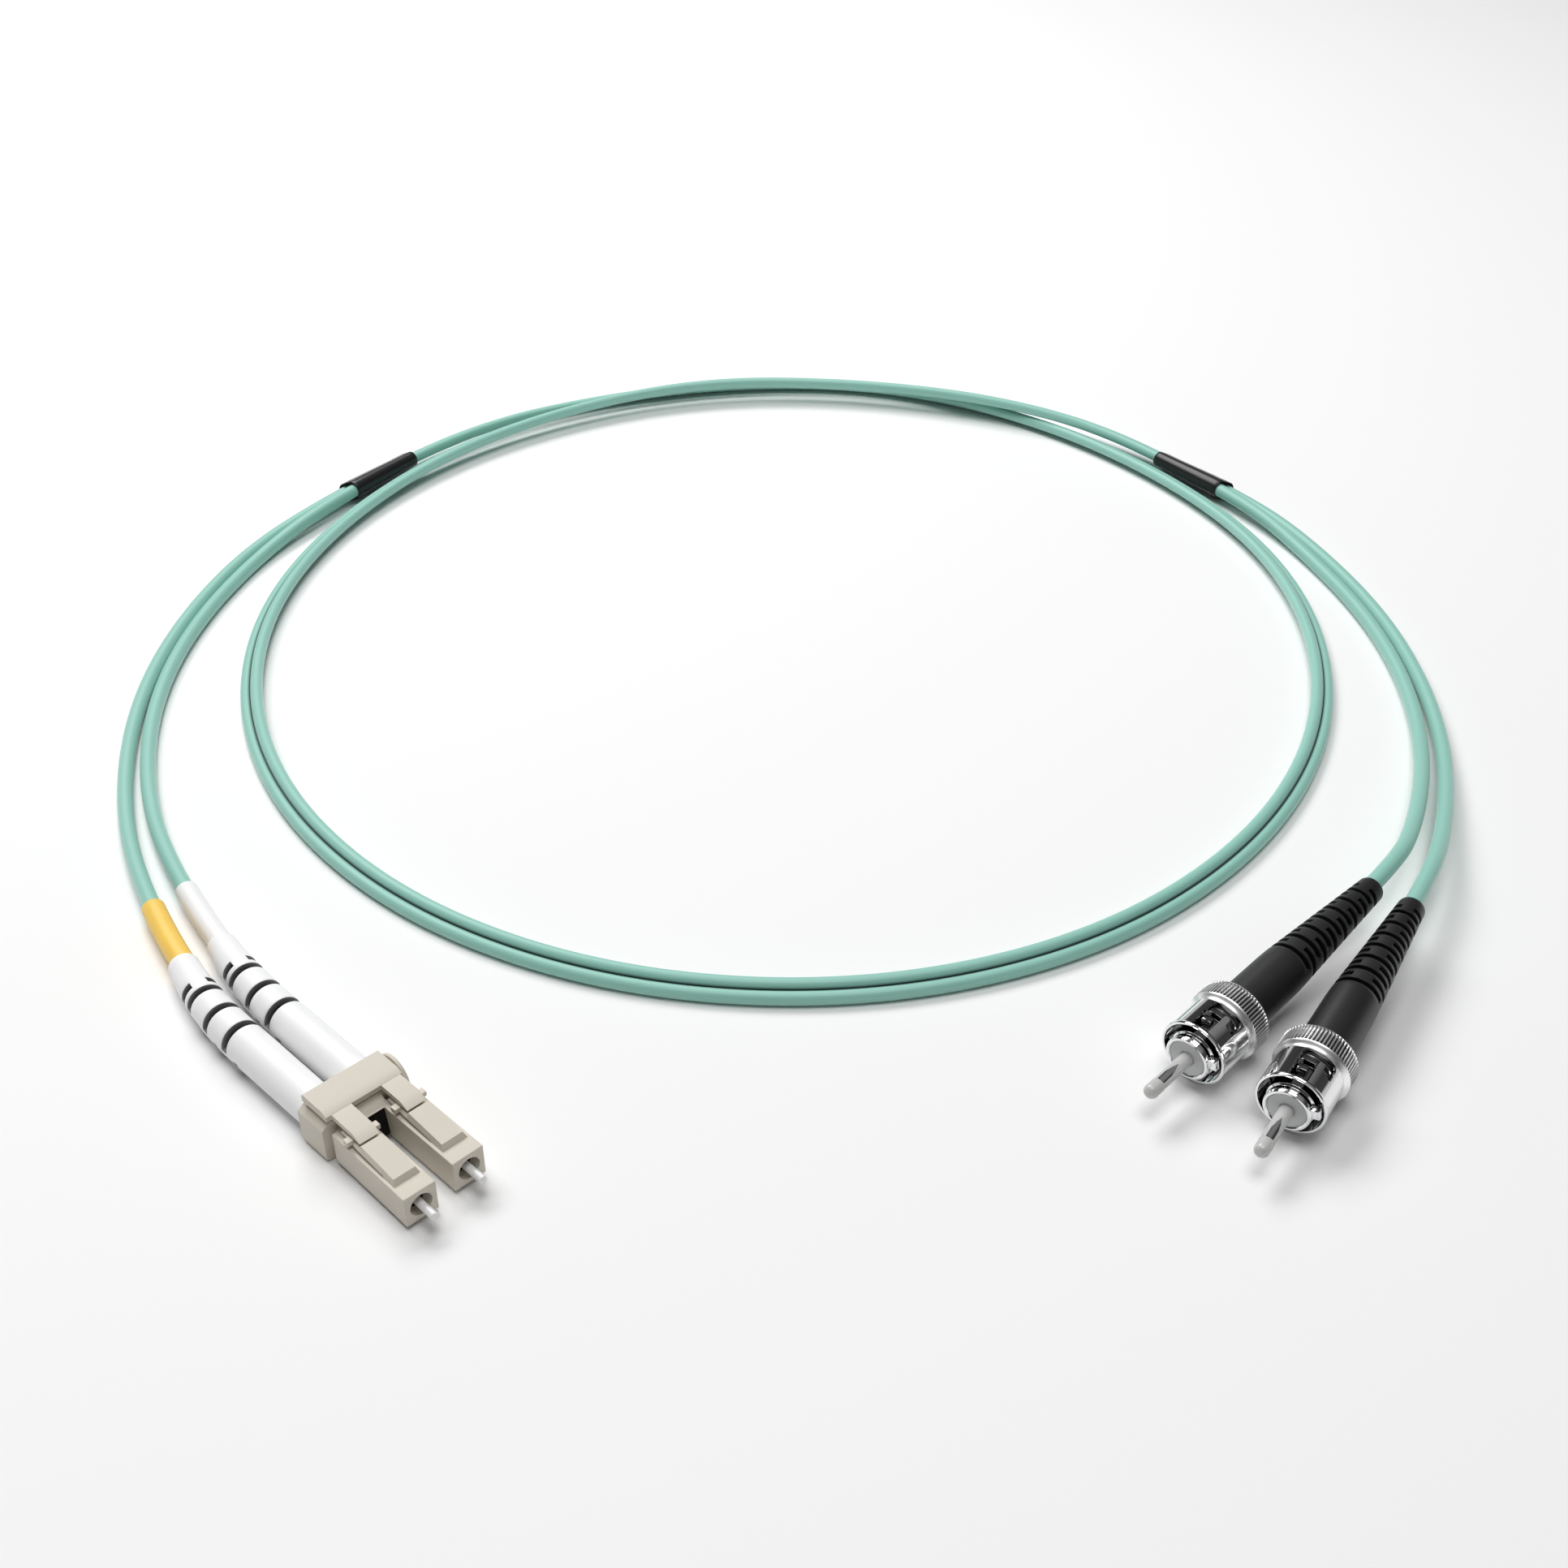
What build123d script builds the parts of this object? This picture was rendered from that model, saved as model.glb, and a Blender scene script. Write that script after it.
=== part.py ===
import os
from math import cos, pi, radians, sin, tan

from build123d import *

os.makedirs("parts", exist_ok=True)

# Duplex fibre patch cord lying in one loop. Millimetres, +Z up, the floor is z = 0.
# +X runs to the right of the photograph and +Y away from the viewer.

# Shared fits
running_gap = 0.05
seat_gap = 0.02
slide_gap = 0.35

# Cord sizes
strand_r = 1.0
strand_pitch = 1.9
web_h = 0.8
duplex_tilt = 27.0
leg_r = 1.2
leg_gap = 0.1

# Small square connector, distances behind the nose face
lc_pitch = 6.25
lc_w = 4.52
lc_h = 4.4
lc_len = 15.0
lc_edge = 0.25
lc_mouth_r = 1.5
lc_mouth_len = 6.5
lc_chamber_r = 1.8
lc_ferrule_r = 0.625
lc_ferrule_out = 2.5
lc_ferrule_len = 10.0
lc_tip_edge = 0.2
lc_flange_r = 1.7
lc_flange_len = 1.4
lc_float = 1.0
lc_backbone_front = 11.6
lc_backbone_r = 1.75
lc_post_r = 1.55
lc_post_end = 25.0
lc_crimp_wall = 0.25
lc_crimp_len = 3.3
lc_spring_r = 1.35
lc_wire = 0.28

# Latch lever
latch_w = 3.45
latch_front = 3.7
latch_t = 0.9
latch_gap = 0.35
latch_lug_at = 12.6
latch_lug_len = 0.8
latch_lug_w = 4.5
latch_tail_w = 2.2
latch_tail_end = 15.6
latch_root = 1.2

# Duplex clip and trigger
clip_front = 16.2
clip_rear = 21.5
clip_low = 2.75
clip_side = 2.3
clip_top = 3.1
clip_shoulder_in = 1.5
clip_half_w = 6.1
trigger_front = 17.3
trigger_rear = 21.3
trigger_low = 3.55
trigger_top = 4.6
trigger_half_w = 5.4
arm_w = 3.2
arm_end = 13.9
arm_t = 0.65
hinge_r = 0.4
hinge_at = 20.6
saddle_end = 13.9
ear_r = 3.1
ear_t = 0.7

# Boots of the square connectors
lc_boot_front = 21.55
lc_boot_r = 2.75
lc_boot_rear_r = 2.05
lc_boot_len = 35.5
lc_leg_start = 25.5
lc_bend_at = 46.5
lc_slot_w = 0.85
lc_slot_in_r = 1.55
sleeve_r = 1.6
sleeve_len = 14.0
yellow_back = 121.0
white_back = 123.1
sleeve_z = 1.75
sleeve_run = 35.0

# Bayonet connector, distances behind the rim of the nut, plus is towards the ferrule tip
st_ferrule_r = 1.25
st_tip = 9.5
st_ferrule_back = -4.0
st_tip_edge = 0.45
st_step_at = 1.17
st_step_in = 0.25
st_face = 1.4
st_holder_r = 2.5
st_holder_front = 1.15
st_holder_back = -5.0
st_barrel_r = 3.15
st_lip = 0.35
st_key_w = 1.3
st_key_top = 4.0
st_key_len = 1.6
st_key_angle = 12.0
st_key_front = 0.9
st_block_at = -2.8
st_block_len = 1.0
st_block_angle = 91.0
nut_in_r = 4.15
nut_r = 4.5
nut_rim = 0.5
nut_channel_end = -5.5
nut_channel_angle = 87.0
nut_channel_half = 15.5
nut_turn_front = -4.5
nut_hook_front = -3.1
nut_hook_angle = 51.0
nut_hook_half = 10.0
knurl_count = 40
knurl_w = 0.32
knurl_deep = 0.25
nut_cone_front = -5.9
nut_knurl_front = -6.6
nut_knurl_rear = -9.3
nut_rear = -9.9
nut_knurl_r = 5.0
nut_rear_in_r = 3.65
nut_bevel_r = 4.55
nut_web = 0.8
nut_web_front = -7.9
st_tail_r = 2.6
st_tail_end = -9.9
st_post_r = 1.6
st_post_end = -23.5
st_flange_front = -4.0
st_flange_r = 4.0
st_flange_len = 0.8
st_spring_r = 3.6
st_wire = 0.4
washer_t = 0.4
washer_r = 4.05
ring_t = 0.5
ring_r = 3.3
st_crimp_r = 2.0
st_crimp_front = -18.0
st_boot_front = -9.35
st_boot_r = 3.4
st_boot_mid = -20.8
st_boot_mid_r = 3.3
st_leg_start = -24.0
st_bend_at = -48.5
st_boot_rear = -42.7
st_boot_rear_r = 1.85
st_slot_w = 0.75
st_slot_pitch = 2.85
st_slot_first = -21.3
st_slot_rows = 7
st_slot_in_r = 1.7
st_tilt = -2.4

# Shrink sleeves
shrink_len = 17.0
shrink_wall = 0.35
shrink_z = 2.2
cord_in = 7.0

# Places on the floor, from the photograph
lc_nose = (-41.4, -23.9)
lc_heading = -45.0
lc_axis_z = 2.82
st_c_rim = (48.55, -3.5)
st_c_heading = -133.9
st_d_rim = (58.8, -12.35)
st_d_heading = -123.8
st_axis_z = nut_knurl_r * cos(radians(st_tilt)) - nut_knurl_front * sin(radians(st_tilt))

shrink_left = (-76.3, 169.9)
shrink_left_heading = -123.5
shrink_right = (72.6, 169.9)
shrink_right_heading = -54.1

# Route of the duplex cord: x, y and height of the middle of the pair
duplex_route = [
    (-80.2, 164.1, 2.2), (-67.5, 183.2, 2.2), (-40.3, 203.9, 1.45), (-8.7, 211.0, 1.45),
    (23.2, 204.6, 1.45), (51.1, 187.6, 1.45), (72.7, 163.8, 1.45), (86.2, 134.4, 1.45),
    (89.1, 102.1, 1.45), (82.1, 70.4, 1.45), (65.4, 42.3, 1.45), (40.6, 21.3, 1.45),
    (10.1, 11.0, 1.45), (-22.4, 12.9, 1.45), (-51.8, 26.6, 1.45), (-74.5, 49.8, 1.45),
    (-88.4, 79.2, 1.45), (-92.5, 111.4, 1.45), (-86.3, 143.0, 1.45), (-70.3, 171.2, 2.4),
    (-46.5, 192.9, 5.2), (-17.9, 205.8, 8.4), (13.8, 209.2, 8.4), (44.3, 200.2, 5.0),
    (65.6, 179.6, 2.2), (76.7, 164.2, 2.2),
]


def direction(heading, rise=0.0):
    return Vector(
        cos(radians(heading)) * cos(radians(rise)),
        sin(radians(heading)) * cos(radians(rise)),
        sin(radians(rise)),
    )


def datum(spot, z, heading, rise=0.0):
    forward = direction(heading, rise)
    side = Vector(-sin(radians(heading)), cos(radians(heading)), 0)
    return Plane(origin=(spot[0], spot[1], z), x_dir=side, z_dir=forward)


def across(at, forward, side=0.0, up=0.0):
    spot = at.origin + at.z_dir * forward + at.x_dir * side + at.y_dir * up
    return Plane(origin=spot, x_dir=at.x_dir, z_dir=at.z_dir)


def along(at, side=0.0):
    return Plane(origin=at.origin + at.x_dir * side, x_dir=at.z_dir, z_dir=at.x_dir * -1)


def above(at, up=0.0):
    return Plane(origin=at.origin + at.y_dir * up, x_dir=at.z_dir, z_dir=at.y_dir)


def axis_of(at):
    return Axis(at.origin, at.z_dir)


def corner_radii(points):
    radii = []
    for before, corner, after in zip(points, points[1:], points[2:]):
        run_in = Vector(*corner) - Vector(*before)
        run_out = Vector(*after) - Vector(*corner)
        half_turn = radians(run_in.get_angle(run_out)) / 2
        radii.append(0.45 * min(run_in.length, run_out.length) / tan(half_turn))
    return radii


def turned(at, points):
    with BuildPart() as body:
        with BuildSketch(along(at)):
            with BuildLine():
                Polyline(*points, close=True)
            make_face()
        revolve(axis=axis_of(at))
    return body


def keep(built, label):
    built.part.label = label
    export_step(built.part, "parts/" + label + ".step")
    print(label, round(built.part.volume, 3))
    return built


def round_cord(label, points, radius):
    radii = corner_radii(points)
    with BuildPart() as cord:
        with BuildLine():
            path = FilletPolyline(*points, radius=radii)
        with BuildSketch(Plane(origin=path @ 0, z_dir=path % 0)):
            Circle(radius)
        sweep()
    keep(cord, label)
    print(label, "length", round(path.length, 1), "smallest radius", round(min(radii), 1))
    print(label, "volume ratio", round(cord.part.volume / (path.length * pi * radius**2), 5))


# Datums
lc_mid = datum(lc_nose, lc_axis_z, lc_heading)
lc_a = across(lc_mid, 0, -lc_pitch / 2)
lc_b = across(lc_mid, 0, lc_pitch / 2)
st_c = datum(st_c_rim, st_axis_z, st_c_heading, st_tilt)
st_d = datum(st_d_rim, st_axis_z, st_d_heading, st_tilt)

# Duplex cord: two strands and a web, the inner strand higher
duplex_radii = corner_radii(duplex_route)
with BuildPart() as duplex:
    with BuildLine():
        duplex_path = FilletPolyline(*duplex_route, radius=duplex_radii)
    start = duplex_path @ 0
    heading = duplex_path % 0
    level = Vector(heading.Y, -heading.X, 0).normalized()
    with BuildSketch(Plane(origin=start, x_dir=level, z_dir=heading)) as section:
        with Locations(Rotation(0, 0, -duplex_tilt)):
            with Locations((-strand_pitch / 2, 0), (strand_pitch / 2, 0)):
                Circle(strand_r)
            Rectangle(strand_pitch, web_h)
    sweep()
keep(duplex, "duplex_cord")
print("duplex length", round(duplex_path.length, 1), "radius", round(min(duplex_radii), 1))
print("ratio", round(duplex.part.volume / (duplex_path.length * section.sketch.area), 5))


# Shrink sleeve over the place where the cord divides into two legs
def make_shrink(label, spot, heading, tilt):
    at = datum(spot, shrink_z, heading)
    pair_w = strand_pitch + 2 * strand_r
    legs_w = 4 * leg_r + leg_gap
    with BuildPart() as shrink:
        with BuildSketch(across(at, 0)):
            SlotOverall(pair_w + 2 * shrink_wall, 2 * strand_r + 2 * shrink_wall, rotation=tilt)
        with BuildSketch(across(at, shrink_len)):
            SlotOverall(legs_w + 2 * shrink_wall, 2 * leg_r + 2 * shrink_wall, rotation=tilt)
        loft()
        with BuildSketch(across(at, 0)):
            SlotOverall(pair_w + 2 * seat_gap, 2 * strand_r + 2 * seat_gap, rotation=tilt)
        extrude(amount=cord_in + 0.5, mode=Mode.SUBTRACT)
        with BuildSketch(across(at, shrink_len)):
            SlotOverall(legs_w + 6 * seat_gap, 2 * leg_r + 4 * seat_gap, rotation=tilt)
        extrude(amount=-(shrink_len - cord_in - 0.5), mode=Mode.SUBTRACT)
    keep(shrink, label)


# Start and second point of a leg: side +1 or -1 in the tilted pair
def leg_start(spot, heading, tilt, side):
    at = datum(spot, shrink_z, heading)
    half = (leg_r + leg_gap / 2) * side
    rise = half * sin(radians(tilt))
    first = across(at, cord_in + 1.0, half * cos(radians(tilt)), rise).origin
    second = across(at, cord_in + 17.0, half, rise).origin
    return [tuple(first), tuple(second)]


make_shrink("heat_shrink_lc", shrink_left, shrink_left_heading, duplex_tilt)
make_shrink("heat_shrink_st", shrink_right, shrink_right_heading, -duplex_tilt)


# Legs of the square connectors: the last three points lie in the sleeve and the boot
def lc_leg_end(at, back):
    bend = across(at, -lc_bend_at).origin
    away = direction(back)
    rear = Vector(bend.X + away.X * sleeve_run, bend.Y + away.Y * sleeve_run, sleeve_z)
    return [tuple(rear), tuple(bend), tuple(across(at, -lc_leg_start).origin)]


def st_leg_end(at):
    return [tuple(across(at, st_bend_at).origin), tuple(across(at, st_leg_start).origin)]


left_start = (shrink_left, shrink_left_heading, duplex_tilt)
right_start = (shrink_right, shrink_right_heading, -duplex_tilt)
leg_a_route = leg_start(*left_start, -1) + [
    (-100.5, 132.2, 1.2), (-105.8, 108.6, 1.2), (-106.7, 84.6, 1.2), (-102.9, 60.6, 1.2),
] + lc_leg_end(lc_a, yellow_back)
leg_b_route = leg_start(*left_start, 1) + [
    (-97.7, 131.9, 1.2), (-103.3, 108.6, 1.2), (-104.1, 85.1, 1.2), (-99.9, 62.1, 1.2),
] + lc_leg_end(lc_b, white_back)
leg_c_route = leg_start(*right_start, -1) + [
    (93.1, 132.9, 1.2), (98.7, 110.6, 1.2), (100.0, 88.6, 1.2), (97.2, 67.6, 1.5),
    (89.8, 46.1, 4.2),
] + st_leg_end(st_c)
leg_d_route = leg_start(*right_start, 1) + [
    (95.7, 133.4, 1.2), (101.5, 110.1, 1.2), (102.7, 87.1, 1.2), (100.2, 65.6, 1.5),
    (93.0, 43.1, 4.2),
] + st_leg_end(st_d)
round_cord("leg_a", leg_a_route, leg_r)
round_cord("leg_b", leg_b_route, leg_r)
round_cord("leg_c", leg_c_route, leg_r)
round_cord("leg_d", leg_d_route, leg_r)


# Wire spring with a square wire
def make_spring(label, at, front, length, radius, wire, turns):
    base = across(at, front - length + wire / 2)
    pitch = (length - wire) / turns
    with BuildPart() as spring:
        with BuildLine():
            coil = Helix(
                pitch=pitch,
                height=length - wire,
                radius=radius - wire / 2,
                center=base.origin,
                direction=base.z_dir,
            )
        with BuildSketch(Plane(origin=coil @ 0, x_dir=base.z_dir, z_dir=coil % 0)):
            Rectangle(wire * 0.9, wire)
        sweep(is_frenet=True)
    keep(spring, label)


# Rays that bound a ring sector, far outside the piece
def sector(angle, half, reach):
    rays = [angle - half, angle - half / 2, angle + half / 2, angle + half]
    return [(0, 0)] + [(reach * cos(radians(ray)), reach * sin(radians(ray))) for ray in rays]


# Small square connector
def make_lc(tag, at):
    # Housing with a chamber for the floating ferrule
    with BuildPart() as housing:
        with BuildSketch(across(at, 0)) as square:
            Rectangle(lc_w, lc_h)
            chamfer(square.vertices(), length=lc_edge)
        extrude(amount=-lc_len)
        with BuildSketch(across(at, 0)):
            Circle(lc_mouth_r)
        extrude(amount=-lc_len, mode=Mode.SUBTRACT)
        with BuildSketch(across(at, -lc_mouth_len)):
            Circle(lc_chamber_r)
        extrude(amount=-(lc_len - lc_mouth_len), mode=Mode.SUBTRACT)
    keep(housing, "lc_housing_" + tag)

    # Latch lever: a plate over the housing with a bevelled front, lugs and a narrow tail
    base = lc_h / 2 + latch_gap
    top = base + latch_t
    middle = base + latch_t / 2
    with BuildPart() as latch:
        with BuildSketch(along(at)):
            with BuildLine():
                Polyline(
                    (-latch_front, lc_h / 2 + seat_gap),
                    (-latch_front - latch_root, top),
                    (-latch_lug_at - latch_lug_len, top),
                    (-latch_lug_at - latch_lug_len, base),
                    (-latch_front - latch_root - 0.4, base),
                    (-latch_front - latch_root - 0.4, lc_h / 2 + seat_gap),
                    close=True,
                )
            make_face()
        extrude(amount=latch_w / 2, both=True)
        with BuildSketch(across(at, -latch_lug_at, 0, middle)):
            Rectangle(latch_lug_w, latch_t)
        extrude(amount=-latch_lug_len)
        with BuildSketch(across(at, -latch_lug_at - latch_lug_len, 0, middle)):
            Rectangle(latch_tail_w, latch_t)
        extrude(amount=-(latch_tail_end - latch_lug_at - latch_lug_len))
    keep(latch, "lc_latch_" + tag)

    # Ferrule and its flange
    rear = lc_ferrule_out - lc_ferrule_len
    flange_front = -lc_mouth_len - running_gap
    flange_rear = flange_front - lc_flange_len
    ferrule = turned(at, [
        (lc_ferrule_out, 0),
        (lc_ferrule_out, lc_ferrule_r - lc_tip_edge),
        (lc_ferrule_out - lc_tip_edge, lc_ferrule_r),
        (rear, lc_ferrule_r),
        (rear, 0),
    ])
    keep(ferrule, "lc_ferrule_" + tag)
    flange = turned(at, [
        (flange_front, lc_ferrule_r + seat_gap),
        (flange_front, lc_flange_r),
        (flange_rear, lc_flange_r),
        (flange_rear, 0.8),
        (flange_rear - 1.6, 0.8),
        (flange_rear - 1.6, 0.3),
        (rear - seat_gap, 0.3),
        (rear - seat_gap, lc_ferrule_r + seat_gap),
    ])
    keep(flange, "lc_ferrule_flange_" + tag)

    # Spring between the flange and the backbone
    spring_len = lc_backbone_front + flange_rear - 2 * running_gap
    make_spring(
        "lc_spring_" + tag, at, flange_rear - running_gap, spring_len, lc_spring_r, lc_wire, 4
    )

    # Backbone closes the chamber and carries the crimp post
    backbone = turned(at, [
        (-lc_backbone_front, 0.95),
        (-lc_backbone_front, lc_backbone_r),
        (-clip_rear + 0.5, lc_backbone_r),
        (-clip_rear + 0.5, lc_post_r),
        (-lc_post_end, lc_post_r),
        (-lc_post_end, 0.95),
    ])
    keep(backbone, "lc_backbone_" + tag)

    # Crimp ring on the post
    ring_in = lc_post_r + seat_gap
    ring = turned(at, [
        (-lc_post_end + lc_crimp_len - 0.2, ring_in),
        (-lc_post_end + lc_crimp_len - 0.2, ring_in + lc_crimp_wall),
        (-lc_post_end - 0.2, ring_in + lc_crimp_wall),
        (-lc_post_end - 0.2, ring_in),
    ])
    keep(ring, "lc_crimp_ring_" + tag)


# Boot of a square connector: bent with its leg, slots in the upper and the lower half
def make_lc_boot(tag, at, route):
    bend_r = corner_radii(route)[-1]
    bend = Vector(*route[-2])
    front = across(at, -lc_boot_front).origin
    back = (Vector(*route[-3]) - bend).normalized()
    rear = bend + back * (lc_boot_len - (lc_bend_at - lc_boot_front) + 0.1)
    with BuildLine():
        wire = FilletPolyline(front, bend, rear, radius=bend_r)
    stations = [0.0, 0.4, 0.58, 0.76, 0.93, 1.0]
    radii = [lc_boot_r, lc_boot_r, 2.66, 2.45, 2.15, lc_boot_rear_r]
    with BuildPart() as boot:
        for place, radius in zip(stations, radii):
            with BuildSketch(Plane(origin=wire @ place, x_dir=at.x_dir, z_dir=wire % place)):
                Circle(radius)
        sweep(path=wire, multisection=True)
        with BuildSketch(Plane(origin=wire @ 0, x_dir=at.x_dir, z_dir=wire % 0)):
            Circle(leg_r + seat_gap)
        sweep(path=wire, mode=Mode.SUBTRACT)
        with BuildSketch(across(at, -lc_boot_front)):
            Circle(lc_post_r + lc_crimp_wall + 2 * seat_gap)
        extrude(amount=-(lc_leg_start - lc_boot_front), mode=Mode.SUBTRACT)
        for back_at, angle, half in lc_slots:
            place = (back_at - lc_boot_front) / wire.length
            level = Plane(origin=wire @ place, x_dir=at.x_dir, z_dir=(wire % place) * -1)
            with BuildSketch(level):
                Circle(lc_boot_r + 0.5)
                Circle(lc_slot_in_r, mode=Mode.SUBTRACT)
                with BuildLine():
                    Polyline(*sector(angle, half, 12.0), close=True)
                make_face(mode=Mode.INTERSECT)
            extrude(amount=lc_slot_w / 2, both=True, mode=Mode.SUBTRACT)
    keep(boot, "lc_boot_" + tag)
    return wire


# Coloured sleeve on the leg, straight, just behind the boot
def make_sleeve(label, route, wire):
    bend = Vector(*route[-2])
    back = (Vector(*route[-3]) - bend).normalized()
    with BuildPart() as sleeve:
        with BuildSketch(Plane(origin=wire @ 1 + back * 0.05, z_dir=back)):
            Circle(sleeve_r)
            Circle(leg_r + seat_gap, mode=Mode.SUBTRACT)
        extrude(amount=sleeve_len)
    keep(sleeve, label)


# Slots of a boot: distance behind the nose, middle angle, half angle
lc_slots = [
    (38.0, 90.0, 93.0), (42.8, 90.0, 93.0), (47.6, 90.0, 93.0),
    (35.6, 270.0, 72.0), (40.4, 270.0, 72.0), (45.2, 270.0, 72.0),
    (49.6, 150.0, 36.0), (49.6, 30.0, 36.0),
]
make_lc("a", lc_a)
make_lc("b", lc_b)
wire_a = make_lc_boot("a", lc_a, leg_a_route)
wire_b = make_lc_boot("b", lc_b, leg_b_route)
make_sleeve("lc_sleeve_yellow", leg_a_route, wire_a)
make_sleeve("lc_sleeve_white", leg_b_route, wire_b)

# Duplex clip: a block round both backbones, a saddle between the housings and one ear
with BuildPart() as clip:
    with BuildSketch(across(lc_mid, -clip_front)):
        with BuildLine():
            Polyline(
                (-clip_half_w, -clip_low + 0.5),
                (-clip_half_w + 0.5, -clip_low),
                (clip_half_w - 0.5, -clip_low),
                (clip_half_w, -clip_low + 0.5),
                (clip_half_w, clip_side),
                (clip_half_w - clip_shoulder_in, clip_top),
                (-clip_half_w + clip_shoulder_in, clip_top),
                (-clip_half_w, clip_side),
                close=True,
            )
        make_face()
    extrude(amount=-(clip_rear - clip_front))
    saddle_w = lc_pitch - lc_w - 2 * running_gap
    with BuildSketch(along(lc_mid)):
        with BuildLine():
            Line((-clip_front - 0.1, -1.6), (-saddle_end, -1.6))
            Line((-saddle_end, -1.6), (-saddle_end, 0.6))
            ThreePointArc((-saddle_end, 0.6), (-15.5, 1.5), (-clip_front - 0.1, 2.9))
            Line((-clip_front - 0.1, 2.9), (-clip_front - 0.1, -1.6))
        make_face()
    extrude(amount=saddle_w / 2, both=True)
    with BuildSketch(along(lc_mid, clip_half_w)):
        with Locations((-(clip_front + clip_rear) / 2, 0.75)):
            Circle(ear_r)
        with Locations((-(clip_front + clip_rear) / 2, -1.0)):
            Rectangle(clip_rear - clip_front, 2.0)
    extrude(amount=-ear_t)
    with BuildSketch(across(lc_mid, -clip_front + 0.2)):
        with Locations((-lc_pitch / 2, 0), (lc_pitch / 2, 0)):
            Circle(lc_backbone_r + seat_gap)
    extrude(amount=-(clip_rear - clip_front + 1), mode=Mode.SUBTRACT)
    with BuildSketch(along(lc_mid)):
        with Locations((-hinge_at, trigger_low)):
            Circle(hinge_r + running_gap)
    extrude(amount=trigger_half_w + slide_gap, both=True, mode=Mode.SUBTRACT)
keep(clip, "duplex_clip")

# Trigger: a bar over the clip with two arms that press the latch levers
arm_low = lc_h / 2 + latch_gap + latch_t + running_gap
with BuildPart() as trigger:
    with BuildSketch(along(lc_mid)):
        with BuildLine():
            Polyline(
                (-trigger_rear, trigger_low),
                (-trigger_rear, trigger_top - 0.2),
                (-trigger_rear + 0.2, trigger_top),
                (-trigger_front - 0.55, trigger_top),
                (-trigger_front, trigger_top - 0.4),
                (-trigger_front, trigger_low),
                close=True,
            )
        make_face()
    extrude(amount=trigger_half_w, both=True)
    with BuildSketch(along(lc_mid)):
        with Locations((-hinge_at, trigger_low)):
            Circle(hinge_r)
    extrude(amount=trigger_half_w, both=True)
    with BuildSketch(above(lc_mid, arm_low)):
        with Locations(
            (-(trigger_front + arm_end) / 2 - 0.1, -lc_pitch / 2),
            (-(trigger_front + arm_end) / 2 - 0.1, lc_pitch / 2),
        ):
            Rectangle(trigger_front - arm_end + 0.2, arm_w)
    extrude(amount=arm_t)
keep(trigger, "clip_trigger")


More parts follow.
